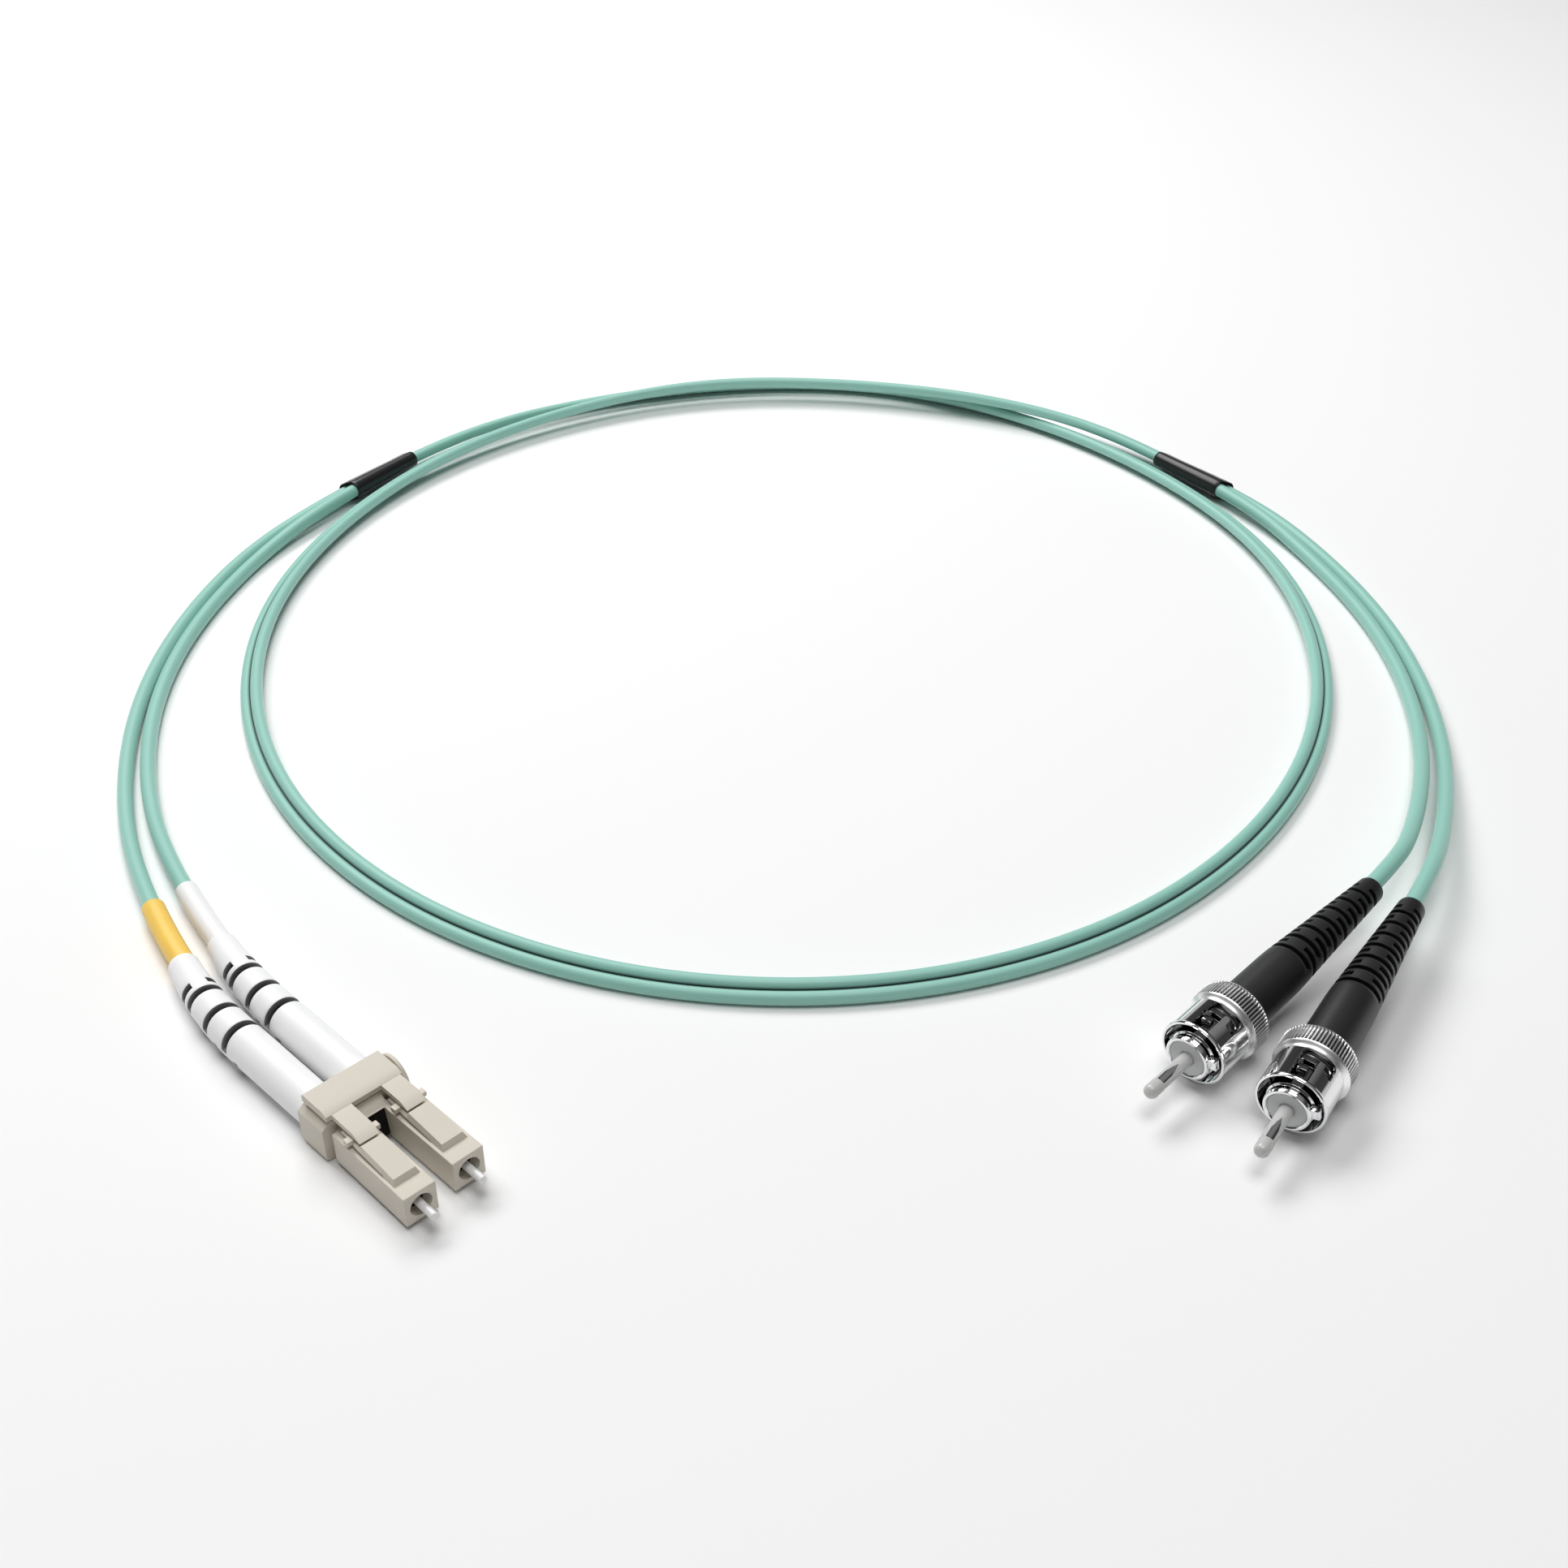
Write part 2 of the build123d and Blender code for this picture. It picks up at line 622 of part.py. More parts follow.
# Bayonet connector
def make_st(tag, at):
    # Barrel with a rounded lip, flange, tail and crimp post
    with BuildPart() as body:
        with BuildSketch(along(at)):
            with BuildLine():
                Polyline(
                    (st_face, st_holder_r + seat_gap),
                    (st_face, st_barrel_r - st_lip),
                    (st_face - st_lip, st_barrel_r),
                    (st_flange_front, st_barrel_r),
                    (st_flange_front, st_flange_r),
                    (st_flange_front - st_flange_len, st_flange_r),
                    (st_flange_front - st_flange_len, st_tail_r),
                    (st_tail_end, st_tail_r),
                    (st_tail_end, st_post_r),
                    (st_post_end, st_post_r),
                    (st_post_end, 0.9),
                    (st_holder_back - seat_gap, 0.9),
                    (st_holder_back - seat_gap, st_holder_r + seat_gap),
                    close=True,
                )
            make_face()
        revolve(axis=axis_of(at))
        with BuildSketch(across(at, st_key_front)):
            with Locations(Rotation(0, 0, st_key_angle)):
                with Locations(((st_key_top + st_barrel_r - 0.3) / 2, 0)):
                    Rectangle(st_key_top - st_barrel_r + 0.3, st_key_w)
        extrude(amount=-st_key_len)
        with BuildSketch(across(at, st_block_at + st_block_len / 2)):
            with Locations(Rotation(0, 0, st_block_angle)):
                with Locations(((st_key_top + st_barrel_r - 0.3) / 2, 0)):
                    Rectangle(st_key_top - st_barrel_r + 0.3, st_key_w)
        extrude(amount=-st_block_len)
    keep(body, "st_body_" + tag)

    # Grey holder in the barrel and the ferrule in it
    root_r = st_ferrule_r - st_step_in
    hole_r = root_r + seat_gap
    holder = turned(at, [
        (st_holder_front, hole_r),
        (st_holder_front, st_holder_r),
        (st_holder_back, st_holder_r),
        (st_holder_back, 0.6),
        (st_ferrule_back - seat_gap, 0.6),
        (st_ferrule_back - seat_gap, hole_r),
    ])
    keep(holder, "st_holder_" + tag)
    ferrule = turned(at, [
        (st_tip, 0),
        (st_tip, st_ferrule_r - 2 * st_tip_edge),
        (st_tip - st_tip_edge * 0.5, st_ferrule_r - st_tip_edge * 0.5),
        (st_tip - 1.5 * st_tip_edge, st_ferrule_r),
        (st_step_at, st_ferrule_r),
        (st_step_at, root_r),
        (st_ferrule_back, root_r),
        (st_ferrule_back, 0),
    ])
    keep(ferrule, "st_ferrule_" + tag)

    # Nut with a rim, two hooked channels, a sloped collar and a knurled ring
    with BuildPart() as nut:
        with BuildSketch(along(at)):
            with BuildLine():
                Polyline(
                    (0, nut_in_r),
                    (0, nut_r),
                    (nut_cone_front, nut_r),
                    (nut_knurl_front, nut_knurl_r),
                    (nut_knurl_rear, nut_knurl_r),
                    (nut_rear, nut_bevel_r),
                    (nut_rear, nut_rear_in_r),
                    (nut_web_front - nut_web, nut_rear_in_r),
                    (nut_web_front - nut_web, st_tail_r + running_gap),
                    (nut_web_front, st_tail_r + running_gap),
                    (nut_web_front, nut_in_r),
                    close=True,
                )
            make_face()
        revolve(axis=axis_of(at))
        for side in (0, 180):
            turn_end = nut_channel_angle + nut_channel_half
            turn_start = nut_hook_angle - nut_hook_half
            cuts = [
                (-nut_rim, nut_channel_angle, nut_channel_half),
                (nut_turn_front, (turn_end + turn_start) / 2, (turn_end - turn_start) / 2),
                (nut_hook_front, nut_hook_angle, nut_hook_half),
            ]
            for cut_front, angle, half in cuts:
                with BuildSketch(across(at, cut_front)):
                    Circle(nut_r + 0.4)
                    Circle(nut_in_r - 0.4, mode=Mode.SUBTRACT)
                    with BuildLine():
                        Polyline(*sector(angle + side, half, 18.0), close=True)
                    make_face(mode=Mode.INTERSECT)
                extrude(amount=nut_channel_end - cut_front, mode=Mode.SUBTRACT)
        with BuildSketch(across(at, nut_knurl_front)):
            with PolarLocations(nut_knurl_r, knurl_count):
                Rectangle(2 * knurl_deep, knurl_w)
        extrude(amount=nut_knurl_rear - nut_knurl_front, mode=Mode.SUBTRACT)
    keep(nut, "st_nut_" + tag)

    # Spring, thrust washer and retaining ring on the tail
    spring_front = st_flange_front - st_flange_len - running_gap
    washer_front = nut_web_front + seat_gap + washer_t
    spring_len = spring_front - washer_front - running_gap
    make_spring("st_spring_" + tag, at, spring_front, spring_len, st_spring_r, st_wire, 4)
    washer = turned(at, [
        (washer_front, st_tail_r + running_gap),
        (washer_front, washer_r),
        (washer_front - washer_t, washer_r),
        (washer_front - washer_t, st_tail_r + running_gap),
    ])
    keep(washer, "st_thrust_washer_" + tag)
    ring_front = nut_web_front - nut_web - running_gap
    ring = turned(at, [
        (ring_front, st_tail_r + seat_gap),
        (ring_front, ring_r),
        (ring_front - ring_t, ring_r),
        (ring_front - ring_t, st_tail_r + seat_gap),
    ])
    keep(ring, "st_retaining_ring_" + tag)

    # Crimp sleeve on the post
    crimp = turned(at, [
        (st_crimp_front, st_post_r + seat_gap),
        (st_crimp_front, st_crimp_r),
        (st_post_end - 0.3, st_crimp_r),
        (st_post_end - 0.3, st_post_r + seat_gap),
    ])
    keep(crimp, "st_crimp_sleeve_" + tag)

    # Boot: a plain front, then a taper with slots by turns above and beside
    with BuildPart() as boot:
        with BuildSketch(along(at)):
            with BuildLine():
                Polyline(
                    (st_boot_front, st_tail_r + seat_gap),
                    (st_boot_front, st_boot_r - 0.2),
                    (st_boot_front - 0.4, st_boot_r),
                    (st_boot_mid, st_boot_mid_r),
                    (st_boot_rear + 0.5, st_boot_rear_r),
                    (st_boot_rear, st_boot_rear_r - 0.4),
                    (st_boot_rear, leg_r + seat_gap),
                    (st_leg_start, leg_r + seat_gap),
                    (st_leg_start, st_crimp_r + seat_gap),
                    (st_tail_end - seat_gap, st_crimp_r + seat_gap),
                    (st_tail_end - seat_gap, st_tail_r + seat_gap),
                    close=True,
                )
            make_face()
        revolve(axis=axis_of(at))
        for row in range(st_slot_rows):
            spot = st_slot_first - row * st_slot_pitch
            rows = [(spot, 90.0), (spot, 270.0)]
            rows += [(spot - st_slot_pitch / 2, 0.0), (spot - st_slot_pitch / 2, 180.0)]
            for forward, angle in rows:
                with BuildSketch(across(at, forward)):
                    Circle(st_boot_r + 0.5)
                    Circle(st_slot_in_r, mode=Mode.SUBTRACT)
                    with BuildLine():
                        Polyline(*sector(angle, 70.0, 14.0), close=True)
                    make_face(mode=Mode.INTERSECT)
                extrude(amount=-st_slot_w, mode=Mode.SUBTRACT)
    keep(boot, "st_boot_" + tag)


make_st("c", st_c)
make_st("d", st_d)
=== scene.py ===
import math

import bmesh
import bpy
import numpy as np
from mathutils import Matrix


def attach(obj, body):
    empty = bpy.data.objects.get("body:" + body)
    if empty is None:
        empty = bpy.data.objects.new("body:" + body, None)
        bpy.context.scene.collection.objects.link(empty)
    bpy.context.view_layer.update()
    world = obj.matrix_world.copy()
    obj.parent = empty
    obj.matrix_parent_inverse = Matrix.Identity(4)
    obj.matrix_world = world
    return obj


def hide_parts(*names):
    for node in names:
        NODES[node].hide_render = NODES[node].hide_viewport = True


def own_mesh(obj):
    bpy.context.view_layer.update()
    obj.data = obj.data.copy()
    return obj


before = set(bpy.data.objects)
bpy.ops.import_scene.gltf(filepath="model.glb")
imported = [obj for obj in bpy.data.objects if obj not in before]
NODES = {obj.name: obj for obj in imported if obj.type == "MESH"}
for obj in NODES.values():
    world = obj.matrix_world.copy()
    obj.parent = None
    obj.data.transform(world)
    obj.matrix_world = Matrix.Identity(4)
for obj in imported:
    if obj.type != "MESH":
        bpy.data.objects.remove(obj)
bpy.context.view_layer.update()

MM = 0.001
TAU = 2 * math.pi


# ---------------------------------------------------------------- datums

class Datum:
    """A connector's own axes: f forward out of the nose, s to its side, u up. Distances in millimetres."""

    def __init__(self, x, y, z, heading, rise=0.0):
        h, r = math.radians(heading), math.radians(rise)
        self.o = np.array([x, y, z], float)
        self.f = np.array([math.cos(h) * math.cos(r), math.sin(h) * math.cos(r), math.sin(r)])
        self.s = np.array([-math.sin(h), math.cos(h), 0.0])
        self.u = np.cross(self.f, self.s)

    def at(self, f=0.0, s=0.0, u=0.0):
        return self.o + self.f * f + self.s * s + self.u * u

    def moved(self, f=0.0, s=0.0, u=0.0):
        other = Datum(0, 0, 0, 0)
        other.o, other.f, other.s, other.u = self.at(f, s, u), self.f, self.s, self.u
        return other

    def put(self, pts):
        """Points (forward, side, up) in millimetres to the row frame in metres."""
        p = np.asarray(pts, float)
        return (self.o + p[..., 0:1] * self.f + p[..., 1:2] * self.s + p[..., 2:3] * self.u) * MM


KNURL_FRONT, KNURL_REAR, KNURL_R, ST_TILT = -6.6, -9.3, 5.0, -2.4
ST_Z = KNURL_R * math.cos(math.radians(ST_TILT)) - KNURL_FRONT * math.sin(math.radians(ST_TILT))
LC = Datum(-41.4, -23.9, 2.82, -45.0)
LC_A, LC_B = LC.moved(s=-3.125), LC.moved(s=3.125)
NOSE_A, NOSE_B = Datum(-43.73, -26.57, 2.82, -46.0), Datum(-38.96, -20.99, 2.82, -45.0)
ST_C = Datum(48.55, -3.5, ST_Z, -133.9, ST_TILT)
ST_D = Datum(58.8, -12.35, ST_Z, -123.8, ST_TILT)
SHRINK_L = Datum(-76.3, 169.9, 2.2, -123.5)
SHRINK_R = Datum(72.6, 169.9, 2.2, -54.1)


# ---------------------------------------------------------------- camera

camera = bpy.data.objects.new("camera", bpy.data.cameras.new("camera"))
bpy.context.scene.collection.objects.link(camera)
camera.location = (-0.0021, -0.1801, 0.170)
camera.rotation_euler = (math.radians(90 - 35.16), 0, 0)
camera.data.sensor_width = 36
camera.data.lens = 44.34
camera.data.clip_start = 0.01
bpy.context.scene.camera = camera


# ---------------------------------------------------------------- node helpers

def node(tree, kind, at=(0, 0), **values):
    n = tree.nodes.new(kind)
    n.location = at
    for key, value in values.items():
        if key in n.inputs:
            n.inputs[key].default_value = value
        else:
            setattr(n, key, value)
    return n


def calc(tree, operation, at, *terms):
    """A math node whose terms are numbers or other nodes' outputs; gives its output."""
    n = node(tree, "ShaderNodeMath", at, operation=operation)
    for socket, term in zip(n.inputs, terms):
        if isinstance(term, (int, float)):
            socket.default_value = term
        else:
            tree.links.new(term, socket)
    return n.outputs[0]


def new_group(name, inputs):
    """A shader node group that gives Color, Roughness and Normal; four numbers make a colour input, one a value."""
    g = bpy.data.node_groups.new(name, "ShaderNodeTree")
    for label, default in inputs.items():
        kind = "NodeSocketColor" if isinstance(default, tuple) else "NodeSocketFloat"
        g.interface.new_socket(label, in_out="INPUT", socket_type=kind).default_value = default
    for label, kind in (("Color", "Color"), ("Roughness", "Float"), ("Normal", "Vector")):
        g.interface.new_socket(label, in_out="OUTPUT", socket_type="NodeSocket" + kind)
    return g, node(g, "NodeGroupInput", (-1100, 0)), node(g, "NodeGroupOutput", (700, 0))


def send_out(g, go, color, gain, rough, depth, height, distance):
    """Sends a colour times a gain, a roughness and a bumped normal to a group's outputs."""
    tint = node(g, "ShaderNodeVectorMath", (100, 200), operation="SCALE")
    bump = node(g, "ShaderNodeBump", (300, -250), Distance=distance)
    for source, target in ((color, tint.inputs[0]), (gain, tint.inputs["Scale"]), (tint.outputs[0], go.inputs["Color"]),
                           (rough, go.inputs["Roughness"]), (depth, bump.inputs["Strength"]),
                           (height, bump.inputs["Height"]), (bump.outputs["Normal"], go.inputs["Normal"])):
        g.links.new(source, target)


def painted_shade_mix(g, color, painted_shade_color):
    """One colour, and a painted shade colour where the mask attribute is one."""
    shade_and_polish_mask = node(g, "ShaderNodeAttribute", (-450, 400), attribute_name="shade_and_polish_mask")
    mix = node(g, "ShaderNodeMix", (-120, 350), data_type="RGBA")
    for source, target in ((shade_and_polish_mask.outputs["Fac"], "Factor"), (color, 6), (painted_shade_color, 7)):
        g.links.new(source, mix.inputs[target])
    return mix.outputs[2]


def moulded_skin():
    """Colour, roughness and normal of moulded plastic: broad tone drift, fine speckle, a fine bump, and a painted shade
    colour in slots and bores where the mask attribute is one.
    """
    g, gi, go = new_group(
        "moulded_skin",
        {"Color": (0.5, 0.5, 0.5, 1), "Tone Drift": 0.04, "Painted Slot Shade": (0.01, 0.01, 0.01, 1), "Speckle": 0.04,
         "Grain Scale": 6000.0, "Grain Depth": 0.15, "Roughness": 0.45, "Roughness Drift": 0.08})
    tc = node(g, "ShaderNodeTexCoord", (-1100, -400))
    broad = node(g, "ShaderNodeTexNoise", (-850, -100), Scale=220.0, Detail=3.0)
    fine = node(g, "ShaderNodeTexNoise", (-850, -400), Detail=4.0)
    for tex in (broad, fine):
        g.links.new(tc.outputs["Object"], tex.inputs["Vector"])
    g.links.new(gi.outputs["Grain Scale"], fine.inputs["Scale"])
    drift = [calc(g, "MULTIPLY", (-450, y), calc(g, "SUBTRACT", (-620, y), tex.outputs["Fac"], 0.5), gi.outputs[amount])
             for tex, amount, y in ((broad, "Tone Drift", 200), (fine, "Speckle", 0))]
    gain = calc(g, "MULTIPLY_ADD", (-120, 100), calc(g, "ADD", (-280, 0), *drift), 2.0, 1.0)
    color = painted_shade_mix(g, gi.outputs["Color"], gi.outputs["Painted Slot Shade"])
    centred = calc(g, "SUBTRACT", (-120, -100), broad.outputs["Fac"], 0.5)
    rough = calc(g, "MULTIPLY_ADD", (100, 0), centred, gi.outputs["Roughness Drift"], gi.outputs["Roughness"])
    send_out(g, go, color, gain, rough, gi.outputs["Grain Depth"], fine.outputs["Fac"], 0.00003)
    return g


def drawn_jacket():
    """Colour, roughness and normal of an extruded jacket: streaks along it, and painted shade that darkens the crease
    between the strands.
    """
    g, gi, go = new_group(
        "drawn_jacket",
        {"Color": (0.3, 0.6, 0.5, 1), "Groove Color": (0.1, 0.2, 0.18, 1), "Streaks": 0.05, "Bump": 0.12,
         "Roughness": 0.4})
    uv = node(g, "ShaderNodeUVMap", (-1100, -300), uv_map="UVMap")
    stretch = node(g, "ShaderNodeMapping", (-900, -300))
    stretch.inputs["Scale"].default_value = (60.0, 40.0, 1.0)
    g.links.new(uv.outputs[0], stretch.inputs["Vector"])
    streak = node(g, "ShaderNodeTexNoise", (-700, -300), Scale=1.0, Detail=3.0)
    g.links.new(stretch.outputs[0], streak.inputs["Vector"])
    tc = node(g, "ShaderNodeTexCoord", (-1100, -600))
    fine = node(g, "ShaderNodeTexNoise", (-700, -600), Scale=5000.0, Detail=3.0)
    g.links.new(tc.outputs["Object"], fine.inputs["Vector"])
    color = painted_shade_mix(g, gi.outputs["Color"], gi.outputs["Groove Color"])
    centred = calc(g, "SUBTRACT", (-450, -100), streak.outputs["Fac"], 0.5)
    amount = calc(g, "MULTIPLY", (-280, -100), centred, gi.outputs["Streaks"])
    gain = calc(g, "MULTIPLY_ADD", (-120, -100), amount, 2.0, 1.0)
    rough = calc(g, "MULTIPLY_ADD", (100, -50), centred, 0.12, gi.outputs["Roughness"])
    height = calc(g, "ADD", (50, -400), streak.outputs["Fac"], fine.outputs["Fac"])
    send_out(g, go, color, gain, rough, gi.outputs["Bump"], height, 0.00002)
    return g


def plated_metal():
    """Colour, roughness and normal of plated metal: faint clouding, hair lines, a tiny ripple, and painted shade that
    scales the colour down where the mask attribute is one.
    """
    g, gi, go = new_group(
        "plated_metal",
        {"Color": (0.8, 0.8, 0.8, 1), "Clouding": 0.05, "Roughness": 0.08, "Hair Lines": 0.06, "Ripple": 0.02,
         "Groove Gain": -0.92, "Line Scale": 9000.0})
    tc = node(g, "ShaderNodeTexCoord", (-1100, -300))
    cloud = node(g, "ShaderNodeTexNoise", (-800, 0), Scale=400.0, Detail=4.0)
    lines = node(g, "ShaderNodeTexNoise", (-800, -300), Detail=2.0)
    g.links.new(tc.outputs["Object"], cloud.inputs["Vector"])
    g.links.new(tc.outputs["Object"], lines.inputs["Vector"])
    g.links.new(gi.outputs["Line Scale"], lines.inputs["Scale"])
    centred = calc(g, "SUBTRACT", (-600, 100), cloud.outputs["Fac"], 0.5)
    gain = calc(g, "MULTIPLY_ADD", (-400, 100), centred, gi.outputs["Clouding"], 1.0)
    shade = node(g, "ShaderNodeAttribute", (-600, 400), attribute_name="shade_and_polish_mask")
    kept = calc(g, "MULTIPLY_ADD", (-400, 350), shade.outputs["Fac"], gi.outputs["Groove Gain"], 1.0)
    both = calc(g, "MULTIPLY", (-280, 200), gain, kept)
    rough = calc(g, "MULTIPLY_ADD", (-150, 0), lines.outputs["Fac"], gi.outputs["Hair Lines"], gi.outputs["Roughness"])
    send_out(g, go, gi.outputs["Color"], both, rough, gi.outputs["Ripple"], cloud.outputs["Fac"], 0.00001)
    return g


GROUPS = {"skin": moulded_skin(), "jacket": drawn_jacket(), "metal": plated_metal()}


def material(name, group, values, **shader):
    m = bpy.data.materials.new(name)
    m.use_nodes = True
    t = m.node_tree
    t.nodes.clear()
    out = node(t, "ShaderNodeOutputMaterial", (500, 0))
    bsdf = node(t, "ShaderNodeBsdfPrincipled", (200, 0))
    for key, value in shader.items():
        bsdf.inputs[key.replace("_", " ")].default_value = value
    g = node(t, "ShaderNodeGroup", (-200, 0), node_tree=GROUPS[group])
    for key, value in values.items():
        g.inputs[key].default_value = value
    t.links.new(g.outputs["Color"], bsdf.inputs["Base Color"])
    t.links.new(g.outputs["Roughness"], bsdf.inputs["Roughness"])
    t.links.new(g.outputs["Normal"], bsdf.inputs["Normal"])
    t.links.new(bsdf.outputs[0], out.inputs["Surface"])
    return m


def two_finish(name, first, second):
    """A material that goes from one finish to another where the mask attribute is one."""
    m = first.copy()
    m.name = name
    t = m.node_tree
    out = next(n for n in t.nodes if n.type == "OUTPUT_MATERIAL")
    bsdf = next(n for n in t.nodes if n.type == "BSDF_PRINCIPLED")
    mask = node(t, "ShaderNodeAttribute", (200, 400), attribute_name="shade_and_polish_mask")
    other = node(t, "ShaderNodeBsdfPrincipled", (200, -400), Metallic=1.0)
    g = node(t, "ShaderNodeGroup", (-200, -400), node_tree=GROUPS["metal"])
    for key, value in second.items():
        g.inputs[key].default_value = value
    for key, socket in (("Color", "Base Color"), ("Roughness", "Roughness"), ("Normal", "Normal")):
        t.links.new(g.outputs[key], other.inputs[socket])
    mix = node(t, "ShaderNodeMixShader", (450, 0))
    t.links.new(mask.outputs["Fac"], mix.inputs[0])
    t.links.new(bsdf.outputs[0], mix.inputs[1])
    t.links.new(other.outputs[0], mix.inputs[2])
    t.links.new(mix.outputs[0], out.inputs["Surface"])
    return m


AQUA = (0.30, 0.60, 0.51, 1)
M = {
    "jacket": material("aqua_jacket", "jacket",
                       {"Color": AQUA, "Groove Color": (0.012, 0.03, 0.026, 1), "Roughness": 0.42},
                       Sheen_Weight=0.35, Sheen_Roughness=0.4, Specular_IOR_Level=0.4),
    "shrink": material("shrink_black", "skin",
                       {"Color": (0.012, 0.012, 0.013, 1), "Roughness": 0.34, "Grain Depth": 0.2,
                        "Grain Scale": 3500.0}, Specular_IOR_Level=0.45),
    "cream": material("cream_moulding", "skin",
                      {"Color": (0.66, 0.61, 0.525, 1), "Roughness": 0.5, "Speckle": 0.03, "Tone Drift": 0.03,
                       "Grain Depth": 0.12}, Specular_IOR_Level=0.35),
    "white_boot": material("white_boot", "skin",
                           {"Color": (0.93, 0.93, 0.935, 1), "Roughness": 0.42, "Speckle": 0.015,
                            "Tone Drift": 0.015, "Grain Depth": 0.1}, Specular_IOR_Level=0.4),
    "yellow": material("yellow_sleeve", "skin",
                       {"Color": (0.95, 0.62, 0.11, 1), "Roughness": 0.4, "Tone Drift": 0.04,
                        "Grain Depth": 0.15}, Specular_IOR_Level=0.45),
    "white_sleeve": material("white_sleeve", "skin",
                             {"Color": (0.92, 0.92, 0.92, 1), "Roughness": 0.38, "Tone Drift": 0.02,
                              "Grain Depth": 0.12}, Specular_IOR_Level=0.4),
    "ceramic": material("white_ceramic", "skin",
                        {"Color": (0.80, 0.80, 0.79, 1), "Roughness": 0.16, "Speckle": 0.01,
                         "Tone Drift": 0.01, "Grain Depth": 0.03, "Grain Scale": 20000.0},
                        Specular_IOR_Level=0.6),
    "chrome": material("bright_nickel", "metal",
                       {"Color": (0.86, 0.86, 0.87, 1), "Roughness": 0.03, "Hair Lines": 0.03, "Clouding": 0.03},
                       Metallic=1.0),
    # this gain sets how dark the painted shade in the knurl's valleys is
    "knurl": material("knurled_nickel", "metal",
                      {"Color": (0.98, 0.98, 0.98, 1), "Roughness": 0.3, "Hair Lines": 0.05, "Groove Gain": -0.93},
                      Metallic=1.0),
    "steel": material("drawn_steel", "metal",
                      {"Color": (0.55, 0.55, 0.56, 1), "Roughness": 0.2, "Hair Lines": 0.2}, Metallic=1.0),
    "brass": material("turned_brass", "metal",
                      {"Color": (0.75, 0.55, 0.25, 1), "Roughness": 0.18, "Hair Lines": 0.2}, Metallic=1.0),
    "holder": material("grey_holder", "skin",
                       {"Color": (0.56, 0.57, 0.57, 1), "Roughness": 0.42, "Speckle": 0.05,
                        "Grain Depth": 0.2, "Grain Scale": 9000.0}, Specular_IOR_Level=0.4),
    "boot": material("black_boot", "skin",
                     {"Color": (0.014, 0.014, 0.014, 1), "Roughness": 0.42, "Speckle": 0.1, "Tone Drift": 0.05,
                      "Grain Depth": 0.25, "Grain Scale": 5000.0}, Specular_IOR_Level=0.5),
    # painted shade: a near-black material for places that only lie in shade
    "painted_shade": material("painted_shade_inside", "skin",
                     {"Color": (0.006, 0.006, 0.006, 1), "Roughness": 0.7}, Specular_IOR_Level=0.2),
}

M["ferrule"] = two_finish("ferrule_two_finish", M["ceramic"],
                          {"Color": (0.75, 0.75, 0.76, 1), "Roughness": 0.04, "Hair Lines": 0.02, "Groove Gain": 0.0})
# no painted shade on the ceramic pieces: their shade colour is set to their own colour
for key, tone in (("ceramic", 0.84), ("ferrule", 0.56)):
    group = next(n for n in M[key].node_tree.nodes if n.type == "GROUP" and n.node_tree == GROUPS["skin"])
    group.inputs["Color"].default_value = (tone, tone, tone * 0.985, 1)
    group.inputs["Painted Slot Shade"].default_value = (tone, tone, tone * 0.985, 1)


# ---------------------------------------------------------------- mesh helpers

def finish_mesh(name, verts, faces, mat, body="cord_assembly", sharp=35.0, uv=None, shade_and_polish_mask=None):
    """A mesh object from vertices in metres, smooth shaded with sharp edges where faces turn."""
    mesh = bpy.data.meshes.new(name)
    mesh.from_pydata([tuple(v) for v in np.asarray(verts).tolist()], [], faces)
    if uv is not None:
        layer = mesh.uv_layers.new(name="UVMap")
        loops = np.empty(len(mesh.loops), dtype=np.int32)
        mesh.loops.foreach_get("vertex_index", loops)
        layer.data.foreach_set("uv", np.asarray(uv, dtype=np.float32)[loops].ravel())
    # a per-point mask: painted shade in slots, bores, the cord's crease, knurl valleys and the barrel inside the nut,
    # and the polished patch on the bayonet ferrule
    if shade_and_polish_mask is not None:
        attr = mesh.attributes.new("shade_and_polish_mask", "FLOAT", "POINT")
        attr.data.foreach_set("value", np.asarray(shade_and_polish_mask, dtype=np.float32))
    bm = bmesh.new()
    bm.from_mesh(mesh)
    bmesh.ops.recalc_face_normals(bm, faces=bm.faces)
    bm.to_mesh(mesh)
    bm.free()
    mesh.polygons.foreach_set("use_smooth", [True] * len(mesh.polygons))
    if sharp is not None:
        mesh.set_sharp_from_angle(angle=math.radians(sharp))
    mesh.materials.append(mat)
    obj = bpy.data.objects.new(name, mesh)
    bpy.context.scene.collection.objects.link(obj)
    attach(obj, body)
    return obj


def grid_faces(rows, cols, wrap_cols=True, wrap_rows=False, start=0):
    faces = []
    for i in range(rows if wrap_rows else rows - 1):
        k = (i + 1) % rows
        for j in range(cols if wrap_cols else cols - 1):
            m = (j + 1) % cols
            faces.append((start + i * cols + j, start + i * cols + m, start + k * cols + m, start + k * cols + j))
    return faces


